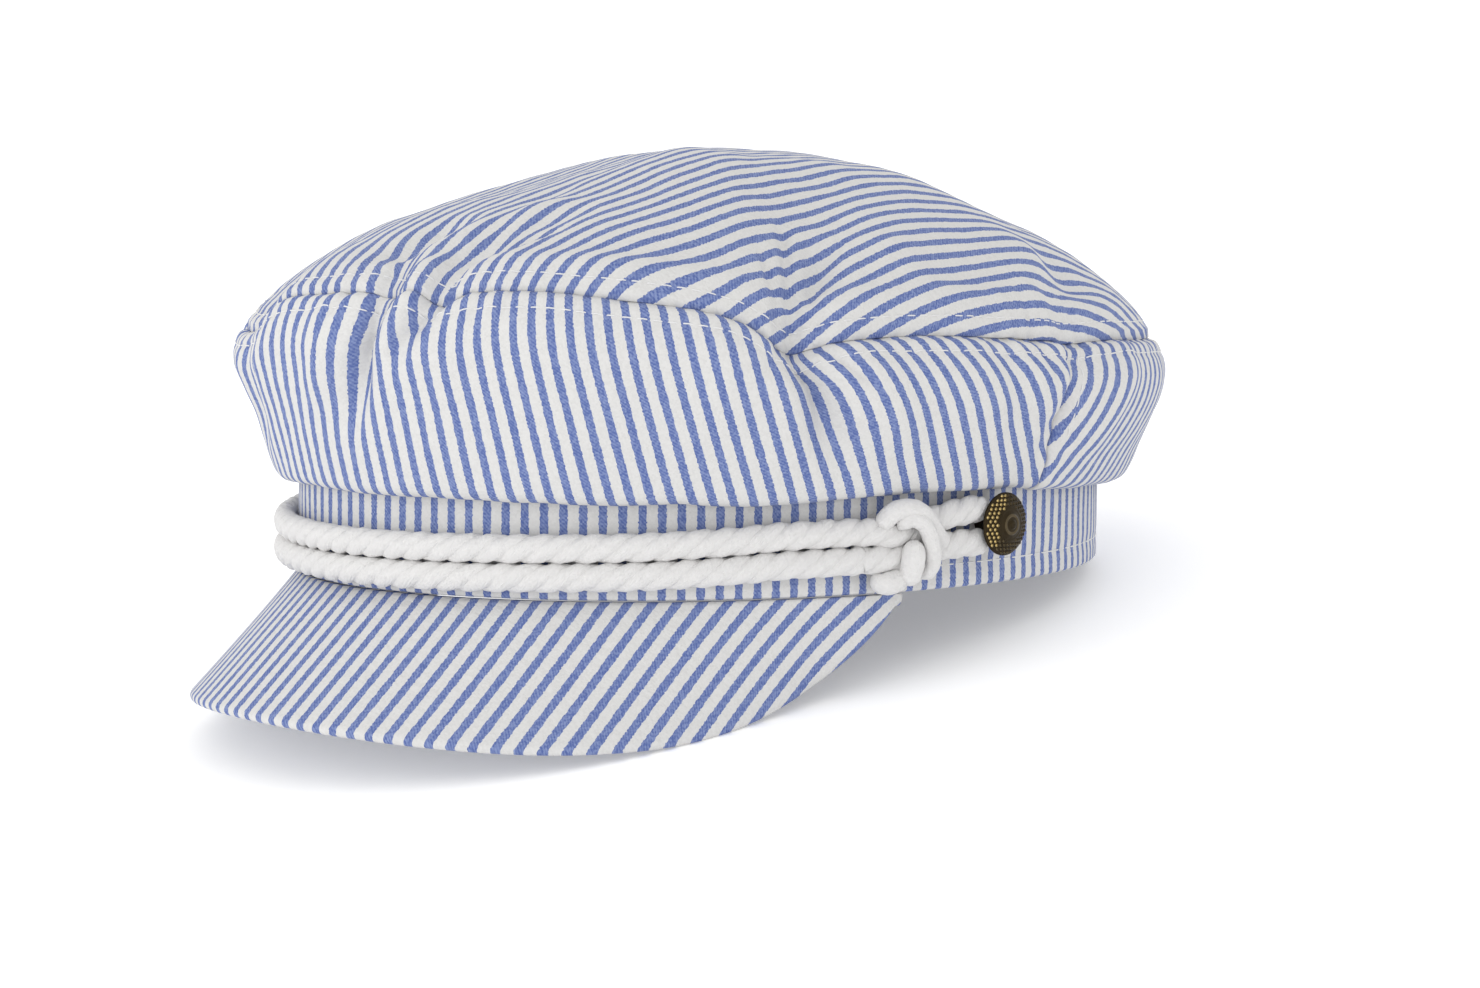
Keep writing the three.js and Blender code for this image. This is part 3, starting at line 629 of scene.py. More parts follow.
BLUE_DARK = (0.09, 0.132, 0.335, 1)
BLUE_LIGHT = (0.275, 0.335, 0.54, 1)
COTTON_WHITE = (0.645, 0.64, 0.63, 1)
COTTON_SHADE = (0.56, 0.555, 0.545, 1)
# Width of a yarn, and the pitch of the twill's slanting lines
YARN = 0.42
TWILL_PITCH = 0.9
# How far a stripe's edge moves from yarn to yarn and drifts along the stripe, as shares of STRIPE_PITCH
EDGE_STEP = 0.05
EDGE_DRIFT = 0.06


def striped_cotton(name):
    material, tree, shader = new_material(name)

    def calc(operation, *values):
        return math_node(tree, operation, *values)

    across, lengthwise = cloth_place(tree)
    row = calc("FLOOR", calc("DIVIDE", lengthwise, YARN))
    column = calc("FLOOR", calc("DIVIDE", across, YARN))
    stripe = calc("DIVIDE", across, STRIPE_PITCH)
    distance = calc("ABSOLUTE", calc("SUBTRACT", calc("FRACT", stripe), 0.5))
    step = speckle(tree, combine(tree, row, calc("FLOOR", stripe), 3.0))
    drift = noise(tree, combine(tree, stripe, lengthwise), 0.35)
    edge = calc("ADD", distance, calc("MULTIPLY", step, EDGE_STEP))
    edge = calc("ADD", edge, calc("MULTIPLY", drift, EDGE_DRIFT))
    blue = calc("LESS_THAN", edge, (STRIPE_SHARE + EDGE_STEP + EDGE_DRIFT) / 2)
    twill = speckle(tree, combine(tree, column, row, 1.0))
    slant = calc("SINE", calc("MULTIPLY", calc("ADD", across, lengthwise), math.tau / TWILL_PITCH))
    light = calc("MULTIPLY_ADD", slant, 0.16, calc("MULTIPLY", twill, 0.62))
    blue_colour = mix_colour(tree, calc("MAXIMUM", light, 0.0), BLUE_DARK, BLUE_LIGHT)
    mottle = noise(tree, combine(tree, calc("MULTIPLY", across, 0.7), lengthwise), 0.5)
    white_colour = mix_colour(tree, calc("MULTIPLY", mottle, twill), COTTON_WHITE, COTTON_SHADE)
    tree.links.new(mix_colour(tree, blue, white_colour, blue_colour), shader.inputs["Base Color"])
    set_inputs(shader, {"Roughness": 0.92, "Specular IOR Level": 0.15, "Sheen Weight": 0.06})
    place = combine(tree, calc("MULTIPLY", across, 0.3), calc("MULTIPLY", lengthwise, 0.55))
    weave = calc("MULTIPLY_ADD", twill, 0.1, noise(tree, place, scale=1.0, detail=3.0))
    bump(tree, shader, weave, distance=0.0006, strength=0.55)
    return material


ROPE_WHITE = (0.82, 0.81, 0.8, 1)
ROPE_SHADE = (0.7, 0.69, 0.685, 1)


def rope_cotton(name):
    material, tree, shader = new_material(name)
    round_it, lengthwise = cloth_place(tree)
    across_fibres = math_node(tree, "MULTIPLY", round_it, 2.6)
    along_fibres = math_node(tree, "MULTIPLY", lengthwise, 0.35)
    tufts = noise(tree, combine(tree, round_it, lengthwise), scale=1.3, detail=3.0, roughness=0.6)
    place = combine(tree, across_fibres, along_fibres)
    fibres = noise(tree, place, scale=1.0, detail=4.0, roughness=0.65)
    tree.links.new(mix_colour(tree, tufts, ROPE_WHITE, ROPE_SHADE), shader.inputs["Base Color"])
    set_inputs(shader, {"Roughness": 0.95, "Specular IOR Level": 0.1, "Sheen Weight": 0.15})
    bump(tree, shader, math_node(tree, "MULTIPLY_ADD", tufts, 0.8, fibres), distance=0.0012, strength=0.6)
    return material


def thread(name):
    material, tree, shader = new_material(name)
    set_inputs(shader, {"Base Color": (0.7, 0.7, 0.7, 1), "Roughness": 0.7})
    return material


def aged_brass(name, dark, bright, rough):
    material, tree, shader = new_material(name)
    place = tree.nodes.new("ShaderNodeTexCoord").outputs["Object"]
    patina = noise(tree, place, scale=700.0, detail=4.0, roughness=0.6)
    tree.links.new(mix_colour(tree, patina, dark, bright), shader.inputs["Base Color"])
    set_inputs(shader, {"Metallic": 1.0, "Roughness": rough})
    bump(tree, shader, patina, distance=0.0001, strength=0.4)
    return material


cotton = striped_cotton("striped_cotton")
rope_white = rope_cotton("cotton_rope")
white_thread = thread("white_thread")
brass_ground = aged_brass("aged_brass_ground", (0.022, 0.016, 0.009, 1), (0.05, 0.037, 0.02, 1), 0.45)
brass_dull = aged_brass("aged_brass_raised", (0.06, 0.047, 0.028, 1), (0.13, 0.1, 0.058, 1), 0.42)
# Bright gold brass for the dots on the side of each button toward the light: a painted highlight
brass_painted_highlight = aged_brass("aged_brass_painted_highlight", (0.3, 0.22, 0.09, 1), (0.62, 0.47, 0.2, 1), 0.32)

# The crown's panels

def crown_panel(angles, rows, relief_of, flat_of):
    """Facing grids of a crown panel, its outward directions and the flat coordinates of its cloth."""
    angle, v = np.meshgrid(angles, rows, indexing="ij")
    smooth, dent = crown_form(angle, v)
    normal = crown_normal(angle, v)
    flat = flat_of(angle, v, smooth)
    inset = dent + relief_of(angle, v, smooth) + slack(flat[..., 0], flat[..., 1])
    outer = smooth - normal * inset[..., None]
    inner = outer - normal * CLOTH_THICKNESS
    return {"angles": angles, "outer": outer, "inner": inner, "normal": normal, "flat": flat}


def facing(front, back):
    """Closed sections: each row of the front grid, and the same row of the back grid from its end."""
    return np.concatenate([front, back[:, ::-1]], 1)


# Over how much of v, above the fold, the back seam's relief comes in
BACK_SEAM_FADE = 0.15


def wall_relief(angle, v, smooth):
    up = length_along(smooth, 1)
    to_seam = up[:, -1:] - up
    round_it = angle * MM_PER_DEGREE
    to_back_seam = np.abs(np.abs(wrapped(angle)) - BACK_SEAM_ANGLE) * MM_PER_DEGREE
    above_fold = smoothstep(v, FOLD_ROW, FOLD_ROW + BACK_SEAM_FADE)
    top = seam_relief(to_seam) + puckers(round_it, to_seam)
    back = seam_relief(to_back_seam) + BACK_SEAM_PUCKERS * puckers(up, to_back_seam)
    return top + back * above_fold


# Over how many millimetres a tuck's pull changes sides, and how slowly it sets in from its low point
TUCK_TURNOVER = 1.5
TUCK_ONSET = 1.5


def tucked(angle, rise, on_dome=False):
    """How far the wall's folds draw the cloth of the wall or the dome sideways into themselves."""
    moved = 0
    for low_angle, low_rise, high_angle, high_rise, before, after, reach, dome in zip(*WALL_TUCKS.values()):
        along_it = (rise - low_rise) / (high_rise - low_rise)
        beside = (angle - lerp(low_angle, high_angle, along_it)) * MM_PER_DEGREE
        side = np.tanh(beside / TUCK_TURNOVER) * np.exp(-np.abs(beside) / (reach * DENT_WIDTH))
        amount = np.where(beside < 0, before, after) * DENT_WIDTH * (dome if on_dome else 1)
        moved = moved + amount * side * smoothstep(along_it, 0, 1) ** TUCK_ONSET
    return moved


# How far out the cloth's lowest line is taken to run, as a share of CROWN_OVERHANG
FOLD_OUT = 0.3


def wall_flat(middle):
    """Flat coordinates of a wall panel: its cloth is a strip curved round a far centre."""
    def flat_of(angle, v, smooth):
        fold_line = on_band(angle[:, 0], CROWN_OVERHANG * FOLD_OUT, 0)
        round_it = length_along(fold_line, 0)
        round_it = round_it - np.interp(middle, angle[:, 0], round_it)
        up = length_along(smooth, 1)
        fold = np.array([np.interp(FOLD_ROW, v[0], column) for column in up])
        radius = SIDE_PANEL_RADIUS + up - fold[:, None]
        taken_in = tucked(wrapped(angle), along(WALL_PROFILE, "v", "rise", np.minimum(v, 1)))
        turn = (round_it[:, None] + taken_in) / SIDE_PANEL_RADIUS
        return np.stack([radius * np.sin(turn), radius * np.cos(turn)], -1)
    return flat_of


def dome_relief(angle, v, smooth):
    to_seam = length_along(smooth, 1)
    return seam_relief(to_seam) + puckers(angle * MM_PER_DEGREE + DOME_PUCKER_SHIFT, to_seam)


# The top panel's stripes are turned from the cap's middle line. Round the second angle the front of the
# panel is eased onto the side panel, which draws its cloth along the seam by TOP_EASE and fades out over
# TOP_EASE_REACH.
TOP_STRIPE_TURN = 10
TOP_EASE_ANGLES = 5, 44, 60
TOP_EASE = 8
TOP_EASE_REACH = 44
MATCHED_SEAM_ANGLE = 42


def dome_flat(angle, v, smooth):
    length = length_along(smooth, 1)
    from_centre = smooth[..., :2] - np.array([0, CROWN_CENTRE_SETBACK])
    left_over = np.linalg.norm(from_centre[:, -1:], axis=-1)
    to_centre = length[:, -1:] - length + left_over
    flat = to_centre[..., None] * unit(from_centre[:, :1])
    turn = math.radians(TOP_STRIPE_TURN)
    x = flat[..., 0] * math.cos(turn) + flat[..., 1] * math.sin(turn)
    y = flat[..., 1] * math.cos(turn) - flat[..., 0] * math.sin(turn)
    start, most, end = TOP_EASE_ANGLES
    eased = smoothstep(angle, start, most) * (1 - smoothstep(angle, most, end))
    x = x + TOP_EASE * eased * (1 - smoothstep(length, 0, TOP_EASE_REACH))
    x = x + tucked(angle, 1, True) * (1 - smoothstep(length, 0, TOP_TUCK_REACH))
    # Where the seam is matched, the stripes of both panels meet
    own, other = (
        np.interp(MATCHED_SEAM_ANGLE, at, across)
        for at, across in ((angle[:, 0], x[:, 0]), (side_panel["angles"], side_panel["flat"][:, -1, 0]))
    )
    shift = (other - own) % STRIPE_PITCH
    return np.stack([x + shift, y], -1)


def add_cotton(name, points, uv, is_loop=False):
    """A piece of striped cotton through closed sections of points, with their flat coordinates."""
    faces = loft(points, is_loop)
    piece = add_mesh(name, points.reshape(-1, 3), faces, cotton, uv.reshape(-1, 2))
    return finish_piece(piece, name)


def add_wall_panel(name, start, end, middle, columns, rows=92):
    angles = np.linspace(start, end, columns)
    values = even_rows(0, 1 - half_gap_beside_seam(-1), rows)
    panel = crown_panel(angles, values, wall_relief, wall_flat(middle))
    points, uv = facing(panel["outer"], panel["inner"]), facing(panel["flat"], panel["flat"])
    panel["piece"] = add_cotton(name, points, uv)
    return panel


# The dome's last ring, just short of its centre at 2
LAST_RING = 1.975


def add_top_panel(columns=640, rows=72):
    angles = np.linspace(-180, 180, columns, endpoint=False)
    values = even_rows(1 + half_gap_beside_seam(1), LAST_RING, rows)
    panel = crown_panel(angles, values, dome_relief, dome_flat)
    points, uv = (
        np.concatenate([panel[below][:, ::-1], panel[above]], 1).transpose(1, 0, 2)
        for below, above in (("inner", "outer"), ("flat", "flat"))
    )
    panel["piece"] = add_cotton("crown_top", points, uv)
    return panel


half_seam_gap = SEAM_GAP / 2 / MM_PER_DEGREE
side_end = BACK_SEAM_ANGLE - half_seam_gap
back_start = BACK_SEAM_ANGLE + half_seam_gap
side_panel = add_wall_panel("crown_side", -side_end, side_end, SIDE_PANEL_MIDDLE, columns=460)
back_panel = add_wall_panel("crown_back", back_start, 360 - back_start, 180, columns=300)
top_panel = add_top_panel()


# Stitches

# A stitch dips into the cloth at both ends: share of its length, and lift over the cloth
STITCH_ARCH = table("share lift", [(0, -0.25), (0.16, 0.06), (0.5, 0.12), (0.84, 0.06), (1, -0.25)])


def stitch_row(points, normals):
    """Stitches along a line on the cloth, each a short round thread."""
    length = length_along(points, 0)
    count = int(length[-1] // STITCH_PITCH)
    starts = (np.arange(count) + FIRST_STITCH) * (length[-1] / count)
    lifts = STITCH_ARCH["lift"]
    at = starts[:, None] + STITCH_ARCH["share"][None] * STITCH_LENGTH
    out = unit(place_along(at, length, normals))
    middle = place_along(at, length, points) + out * lifts[None, :, None]
    forward = unit(np.gradient(middle, axis=1))
    side = unit(np.cross(forward, out))
    up = np.cross(side, forward)
    turns = np.radians(np.arange(0, 360, 360 / STITCH_SIDES))[:, None]
    side, up = side[:, :, None], up[:, :, None]
    ring = middle[:, :, None] + STITCH_RADIUS * (np.cos(turns) * side + np.sin(turns) * up)
    one = grid_faces(len(lifts), STITCH_SIDES, False)
    firsts = np.arange(count) * len(lifts) * STITCH_SIDES
    return ring.reshape(-1, 3), (one[None] + firsts[:, None, None]).reshape(-1, 4)


def add_stitches(name, rows):
    points, faces = join(rows)
    return finish_piece(add_mesh(name, points, faces, white_thread))


def topstitched(outer, normal):
    """Points and normals on an outer face, each in from where one of its rows starts at a seam."""
    lengths = length_along(outer, 1)
    points, normals = (
        np.array([place_along(TOPSTITCH_DISTANCE, *row) for row in zip(lengths, grid)])
        for grid in (outer, normal)
    )
    return points, unit(normals)


def line_across(panel, from_last_row):
    step = -1 if from_last_row else 1
    return topstitched(panel["outer"][:, ::step], panel["normal"][:, ::step])


# The upright lines of stitches: share of the wall's rows where they start, and rows left at the seam
UPRIGHT_START = 0.42
UPRIGHT_END = 4


def line_upward(panel, from_last_column):
    step = -1 if from_last_column else 1
    outer, normal = (panel[grid][::step].transpose(1, 0, 2) for grid in ("outer", "normal"))
    rows = slice(int(len(outer) * UPRIGHT_START), len(outer) - UPRIGHT_END)
    return topstitched(outer[rows], normal[rows])


def closed(line):
    points, normals = line
    return np.concatenate([points, points[:1]]), np.concatenate([normals, normals[:1]])


add_stitches("crown_top_stitches", [stitch_row(*closed(line_across(top_panel, False)))])
add_stitches("crown_side_stitches", [stitch_row(*line_across(side_panel, True))])
add_stitches("crown_back_stitches", [
    stitch_row(*line_across(back_panel, True)),
    stitch_row(*line_upward(back_panel, False)),
    stitch_row(*line_upward(back_panel, True)),
])

# The band

# The rounding of its lower edge, how far in its face lies, the dip at its stitches and its unevenness
BAND_ROUNDING = 0.9
BAND_INSET = 0.12
BAND_STITCH_DIP = 0.22
BAND_STITCH_WIDTH = 0.9
BAND_STITCH_INSET = 0.2
BAND_UNEVENNESS = 0.084


def add_band(columns=720, rows=12):
    radius = BAND_ROUNDING
    angles = np.linspace(-180, 180, columns, endpoint=False)
    turns = np.radians(np.linspace(0, 90, 5))
    heights = np.concatenate([radius * (1 - np.cos(turns)), np.linspace(radius, BAND_HEIGHT, rows)[1:]])
    insets = np.concatenate([radius * (1 - np.sin(turns)), np.zeros(rows - 1)])
    stitch = BAND_STITCH_DIP * bell(heights - BAND_STITCH_HEIGHT, BAND_STITCH_WIDTH)
    angle, height = np.meshgrid(angles, heights, indexing="ij")
    round_it = length_along(on_band(angles, 0, 0), 0)[:, None]
    uneven = BAND_UNEVENNESS * np.sin(round_it / 6.1) * np.sin(height / 4 + round_it / 13)
    outer = on_band(angle, uneven - BAND_INSET - insets - stitch, height)
    inner = on_band(angle, insets - BAND_THICKNESS, height)
    flat = np.stack(np.broadcast_arrays(round_it, height), -1)
    add_cotton("band", facing(outer, inner), facing(flat, flat), is_loop=True)
    line = on_band(angles, -BAND_INSET - BAND_STITCH_INSET, BAND_STITCH_HEIGHT)
    add_stitches("band_stitches", [stitch_row(*closed((line, band_out(angles))))])


add_band()

# The peak

def peak_form(angle):
    """How far the peak reaches out from the band at an angle, and how steeply."""
    side = np.minimum(np.abs(angle / PEAK_HALF_ANGLE), 1)
    length = PEAK_LENGTH * (1 - side ** PEAK_CORNERING) ** PEAK_END_ROUNDING
    slope = np.minimum(PEAK_SLOPE + PEAK_SIDE_SLOPE * side * side, PEAK_STEEPEST)
    return length, np.radians(slope)


def add_peak(columns=300, rows=34, edge_rows=8):
    angles = np.linspace(-PEAK_HALF_ANGLE, PEAK_HALF_ANGLE, columns)
    length, slope = peak_form(angles)
    lean = np.minimum(slope, math.radians(PEAK_STEEPEST_UNDERSIDE))
    radius = PEAK_THICKNESS / 2
    reach = np.maximum(length - radius, radius / 2)
    out = band_out(angles)
    root = on_band(angles, 0, -CLEARANCE)
    slope, lean, reach = slope[:, None], lean[:, None], reach[:, None]
    top = reach * np.linspace(0, 1, rows)
    turns = np.radians(np.linspace(90, -90, edge_rows + 2)[1:-1])
    distance = np.concatenate([top, reach + radius * np.cos(turns), top[:, ::-1]], 1)
    depth = np.concatenate([np.zeros(rows), radius * (1 - np.sin(turns)), np.full(rows, PEAK_THICKNESS)])
    forward = distance * np.cos(slope) - depth * np.sin(lean)
    down = distance * np.sin(slope) + depth * np.cos(lean)
    behind = np.full((columns, 1), -PEAK_TUCK)
    forward = np.concatenate([behind, forward, behind - radius * np.sin(lean)], 1)
    down = np.concatenate([0 * behind, down, PEAK_THICKNESS * np.cos(lean)], 1)
    points = root[:, None] + out[:, None] * forward[..., None]
    points[..., 2] -= down
    # The flat cut: the root line turns less than the band does, because the peak slopes away from it
    heading = PEAK_FLAT_TURN * np.arctan2(out[:, 0], -out[:, 1])
    steps = np.diff(length_along(root, 0))
    middle = (heading[1:] + heading[:-1]) / 2
    moves = steps[:, None] * np.stack([np.cos(middle), np.sin(middle)], -1)
    flat = np.concatenate([np.zeros((1, 2)), np.cumsum(moves, 0)])
    flat = flat - place_along(0, angles, flat)
    distance = np.concatenate([behind, distance, behind], 1)
    outward = np.stack([np.sin(heading), -np.cos(heading)], -1)
    add_cotton("peak", points, flat[:, None] + distance[..., None] * outward[:, None])


add_peak()

# Ropes and knots

def smooth_path(points, step, fineness=40):
    """A smooth line through points, as points that are about a step apart."""
    gaps = np.sqrt(np.linalg.norm(np.diff(points, axis=0), axis=1))
    stops = {"at": np.concatenate([[0], np.cumsum(gaps)])}
    for n, axis in enumerate("xyz"):
        stops[axis] = points[:, n]
    fine = np.linspace(0, stops["at"][-1], len(points) * fineness)
    line = np.stack([along(stops, "at", axis, fine) for axis in "xyz"], -1)
    length = length_along(line, 0)
    even = np.linspace(0, length[-1], max(int(length[-1] / step), 4))
    return place_along(even, length, line)


def carried_frames(line, first_out):
    """Two directions beside a line, carried along it without twisting."""
    forward = unit(np.gradient(line, axis=0))
    beside = np.zeros_like(line)
    guide = np.asarray(first_out, float)
    for k, ahead in enumerate(forward):
        guide = guide - ahead * (guide @ ahead)
        guide = guide / np.linalg.norm(guide)
        beside[k] = guide
    return beside, np.cross(forward, beside)


def tube(line, radius, beside, above, sides):
    """Points, faces and flat coordinates of a round tube, with a radius for each point of its line."""
    turns = np.linspace(0, math.tau, sides + 1)[:-1]
    across = np.cos(turns)[:, None] * beside[:, None] + np.sin(turns)[:, None] * above[:, None]
    ring = line[:, None] + radius[:, None, None] * across
    round_it = np.abs(turns - math.pi) * radius.mean()
    uv = np.stack(np.broadcast_arrays(round_it[None], length_along(line, 0)[:, None]), -1)
    return ring.reshape(-1, 3), grid_faces(len(line), sides, False), uv.reshape(-1, 2)


def flatten(ring, line, flatness):
    """Rings of points pressed toward the band, to a share of their depth."""
    out = band_out(np.degrees(np.arctan2(line[:, 0] / BAND_HALF_WIDTH, -line[:, 1] / BAND_HALF_LENGTH)))
    rings = ring.reshape(len(line), -1, 3)
    depth = ((rings - line[:, None]) * out[:, None]).sum(-1)
    return (rings - (1 - flatness) * depth[..., None] * out[:, None]).reshape(-1, 3)


# The rope's strands: how many, how far their middles and edges are from its own middle, as shares of its
# radius, and the sides of one
STRANDS = 3
STRAND_PLACE = 0.34
STRAND_RADIUS = 0.66
STRAND_SIDES = 16
# Length over which a single strand's end is rounded, its least width there, squared, and its sides
END_ROUNDING = 2.5
END_WIDTH_SQUARED = 0.04
SINGLE_STRAND_SIDES = 18


def twisted_rope(line, phase, taper=0.0):
    """Strands laid round each other along a line, narrowing over a taper's length at its end."""
    beside, above = carried_frames(line, (0, 0, 1))
    length = length_along(line, 0)
    radius = ROPE_PLUMPNESS * ROPE_DIAMETER / 2
    width = np.clip(0.5 + (length[-1] - length) / taper, 0, 1) if taper else np.ones(len(line))
    parts = []
    for strand in range(STRANDS):
        turn = math.tau * (strand / STRANDS - (length + phase) / ROPE_LAY)
        across = np.cos(turn)[:, None] * beside + np.sin(turn)[:, None] * above
        middle = line + across * (radius * STRAND_PLACE * width)[:, None]
        ahead = unit(np.gradient(middle, axis=0))
        out = unit(across - ahead * (across * ahead).sum(1)[:, None])
        swelling = np.sin(length * 1.9 + strand * 2 + 2 * np.sin(length * 0.37))
        uneven = 1 + 0.035 * swelling + 0.02 * np.sin(length * 4.3)
        thick = radius * STRAND_RADIUS * width * uneven
        points, faces, uv = tube(middle, thick, out, np.cross(ahead, out), STRAND_SIDES)
        parts.append((flatten(points, line, ROPE_FLATNESS), faces, uv))
    return parts


def smooth_strand(line, diameter, first_out):
    """A single strand along a line, with rounded ends."""
    beside, above = carried_frames(line, first_out)
    length = length_along(line, 0)
    to_end = np.minimum(length, length[-1] - length)
    rounded = np.sqrt(np.clip(to_end / END_ROUNDING, END_WIDTH_SQUARED, 1))
    uneven = 1 + 0.03 * np.sin(length * 2.1 + diameter) * np.sin(length * 0.7)
    return tube(line, diameter / 2 * rounded * uneven, beside, above, SINGLE_STRAND_SIDES)


def add_rope_piece(name, parts):
    points, faces, uv = join(parts)
    return finish_piece(add_mesh(name, points, faces, rope_white, uv), name)


rope_out = CLEARANCE + ROPE_DIAMETER / 2
rope_rest = CLEARANCE + ROPE_FLATNESS * ROPE_PLUMPNESS * ROPE_DIAMETER / 2
knot_turn = math.radians(KNOT_ANGLE)
knot_rate = math.radians(math.hypot(
    (BAND_HALF_WIDTH + rope_out) * math.cos(knot_turn), (BAND_HALF_LENGTH + rope_out) * math.sin(knot_turn)
))
knot_end_angle = KNOT_ANGLE - (KNOT_HALF_WIDTH + CLEARANCE) / knot_rate


def rope_height(angle):
    last = ROPE_LINE["angle"][-1]
    return FOLD_HEIGHT * along(ROPE_LINE, "angle", "height", np.clip(angle, -last, last))


knot_height = float(rope_height(KNOT_ANGLE))
# Distance between the points of a rope's line and of a knot's, how far the upper rope's lay is ahead of the
# lower one's, and the length over which a rope narrows at its button
ROPE_STEP = 0.7
KNOT_STEP = 0.6
LAY_SHIFT = 3
RUN_TAPER = 3


def rope_line(level):
    angles = np.linspace(-knot_end_angle, knot_end_angle, 60)
    points = on_band(angles, rope_rest, rope_height(angles) + level * ROPE_SPACING)
    return smooth_path(points, ROPE_STEP)


def add_rope(name, level):
    line = rope_line(level)
    phase = level * LAY_SHIFT - length_along(line, 0)[-1] / 2
    add_rope_piece(name, twisted_rope(line, phase))


def route_line(route, side):
    angle = KNOT_ANGLE + route["along"] * ROPE_DIAMETER / knot_rate
    out = CLEARANCE + route["out"] * ROPE_DIAMETER
    points = on_band(angle, out, knot_height + route["up"] * ROPE_SPACING)
    points[:, 0] *= side
    return smooth_path(points, KNOT_STEP)


def through_rope(route, level, end_up):
    """A rope's route through the knot, from where it comes in to where it ends at the button."""
    run_end = BUTTON_KNOT_SPACING - BUTTON_SHANK_DIAMETER / 2 - 2 * CLEARANCE
    first = (-(KNOT_HALF_WIDTH + CLEARANCE) / ROPE_DIAMETER, level, (rope_rest - CLEARANCE) / ROPE_DIAMETER)
    last = (run_end / ROPE_DIAMETER, end_up, RUN_END_OUT)
    return table(ROUTE_COLUMNS, [first, *route, last])


def add_knot(name, side):
    out = band_out(np.array(side * KNOT_ANGLE))
    parts = []
    for route, level, end_up in (
        (KNOT_UPPER_ROPE, UPPER_LEVEL, UPPER_RUN_END), (KNOT_LOWER_ROPE, LOWER_LEVEL, LOWER_RUN_END),
    ):
        line = route_line(through_rope(route, level, end_up), side)
        phase = length_along(rope_line(level), 0)[-1] / 2 + side * LAY_SHIFT * level
        parts += twisted_rope(line, phase, RUN_TAPER)
    for route, diameter in (
        (KNOT_ARCH_OUTER, KNOT_OUTER_DIAMETER), (KNOT_ARCH_INNER, KNOT_INNER_DIAMETER),
        (KNOT_UPRIGHT, KNOT_UPRIGHT_DIAMETER), (KNOT_LOOP, KNOT_UPRIGHT_DIAMETER),
    ):
        parts.append(smooth_strand(route_line(route, side), diameter, out))
    add_rope_piece(name, parts)


add_rope("cord_upper", UPPER_LEVEL)
add_rope("cord_lower", LOWER_LEVEL)
add_knot("knot_left", 1)
add_knot("knot_right", -1)

# The buttons

# The dome's fullness, and shares of the button's radius where the dots, the ring and the boss are
BUTTON_FULLNESS = 1.7
DOTS_FROM = 0.55
DOTS_TO = 0.95
RING_AT = 0.3
RING_WIDTH = 0.04
BOSS_EDGE = 0.16
# Raised dots in staggered rows: spacing, sides, and a dot's rings as radius and lift over the face
DOT_SPACING = 1.06
DOT_SIDES = 8
DOT_RINGS = table("radius lift", [(0.46, -0.1), (0.38, 0.12), (0.18, 0.24)])
# Dots past this line, on the side of a button toward the light, are painted bright gold as a highlight
DOTS_HIGHLIGHT_FROM = 0.3
# The button below its face: share of its radius, and height over the rim's underside
RIM_PROFILE = table("share height", [(0.8, 0), (0.97, 0.12), (1, 0.4), (1, BUTTON_RIM - 0.3)])


def button_height(share):
    """Height of the button's face over its rim at a share of its radius."""
    return BUTTON_DOME * (1 - share ** BUTTON_FULLNESS)


def button_dots(base, side):
    """Points and faces of the dots, and which faces get the painted highlight of bright gold brass on the
    side toward the light.
    """
    radius, sides = BUTTON_DIAMETER / 2, DOT_SIDES
    turns = np.linspace(0, math.tau, sides + 1)[:-1]
    most = int(radius / DOT_SPACING) + 2
    points, faces, painted_highlight_faces = [], [], []
    for row in range(-most, most + 1):
        for column in range(-most, most + 1):
            x = DOT_SPACING * (column + 0.5 * (row % 2))
            y = DOT_SPACING * row * math.sqrt(0.75)
            share = math.hypot(x, y) / radius
            if not DOTS_FROM < share < DOTS_TO:
                continue
            up = base + button_height(share)
            first = len(points) * sides
            for size, lift in zip(*DOT_RINGS.values()):
                ring = x + size * np.cos(turns), y + size * np.sin(turns), np.full(sides, up + lift)
                points.append(np.stack(ring, -1))
            one = (grid_faces(len(DOT_RINGS["lift"]), sides, False) + first).tolist()
            one.append([first + 2 * sides + k for k in range(sides)])
            faces += one
            # A dot on the side of the button toward the light gets bright gold brass: painted highlight
            painted_highlight_faces += [(DOTS_HIGHLIGHT_FROM * y - side * x) / radius > DOTS_HIGHLIGHT_FROM] * len(one)
    return np.concatenate(points), faces, painted_highlight_faces


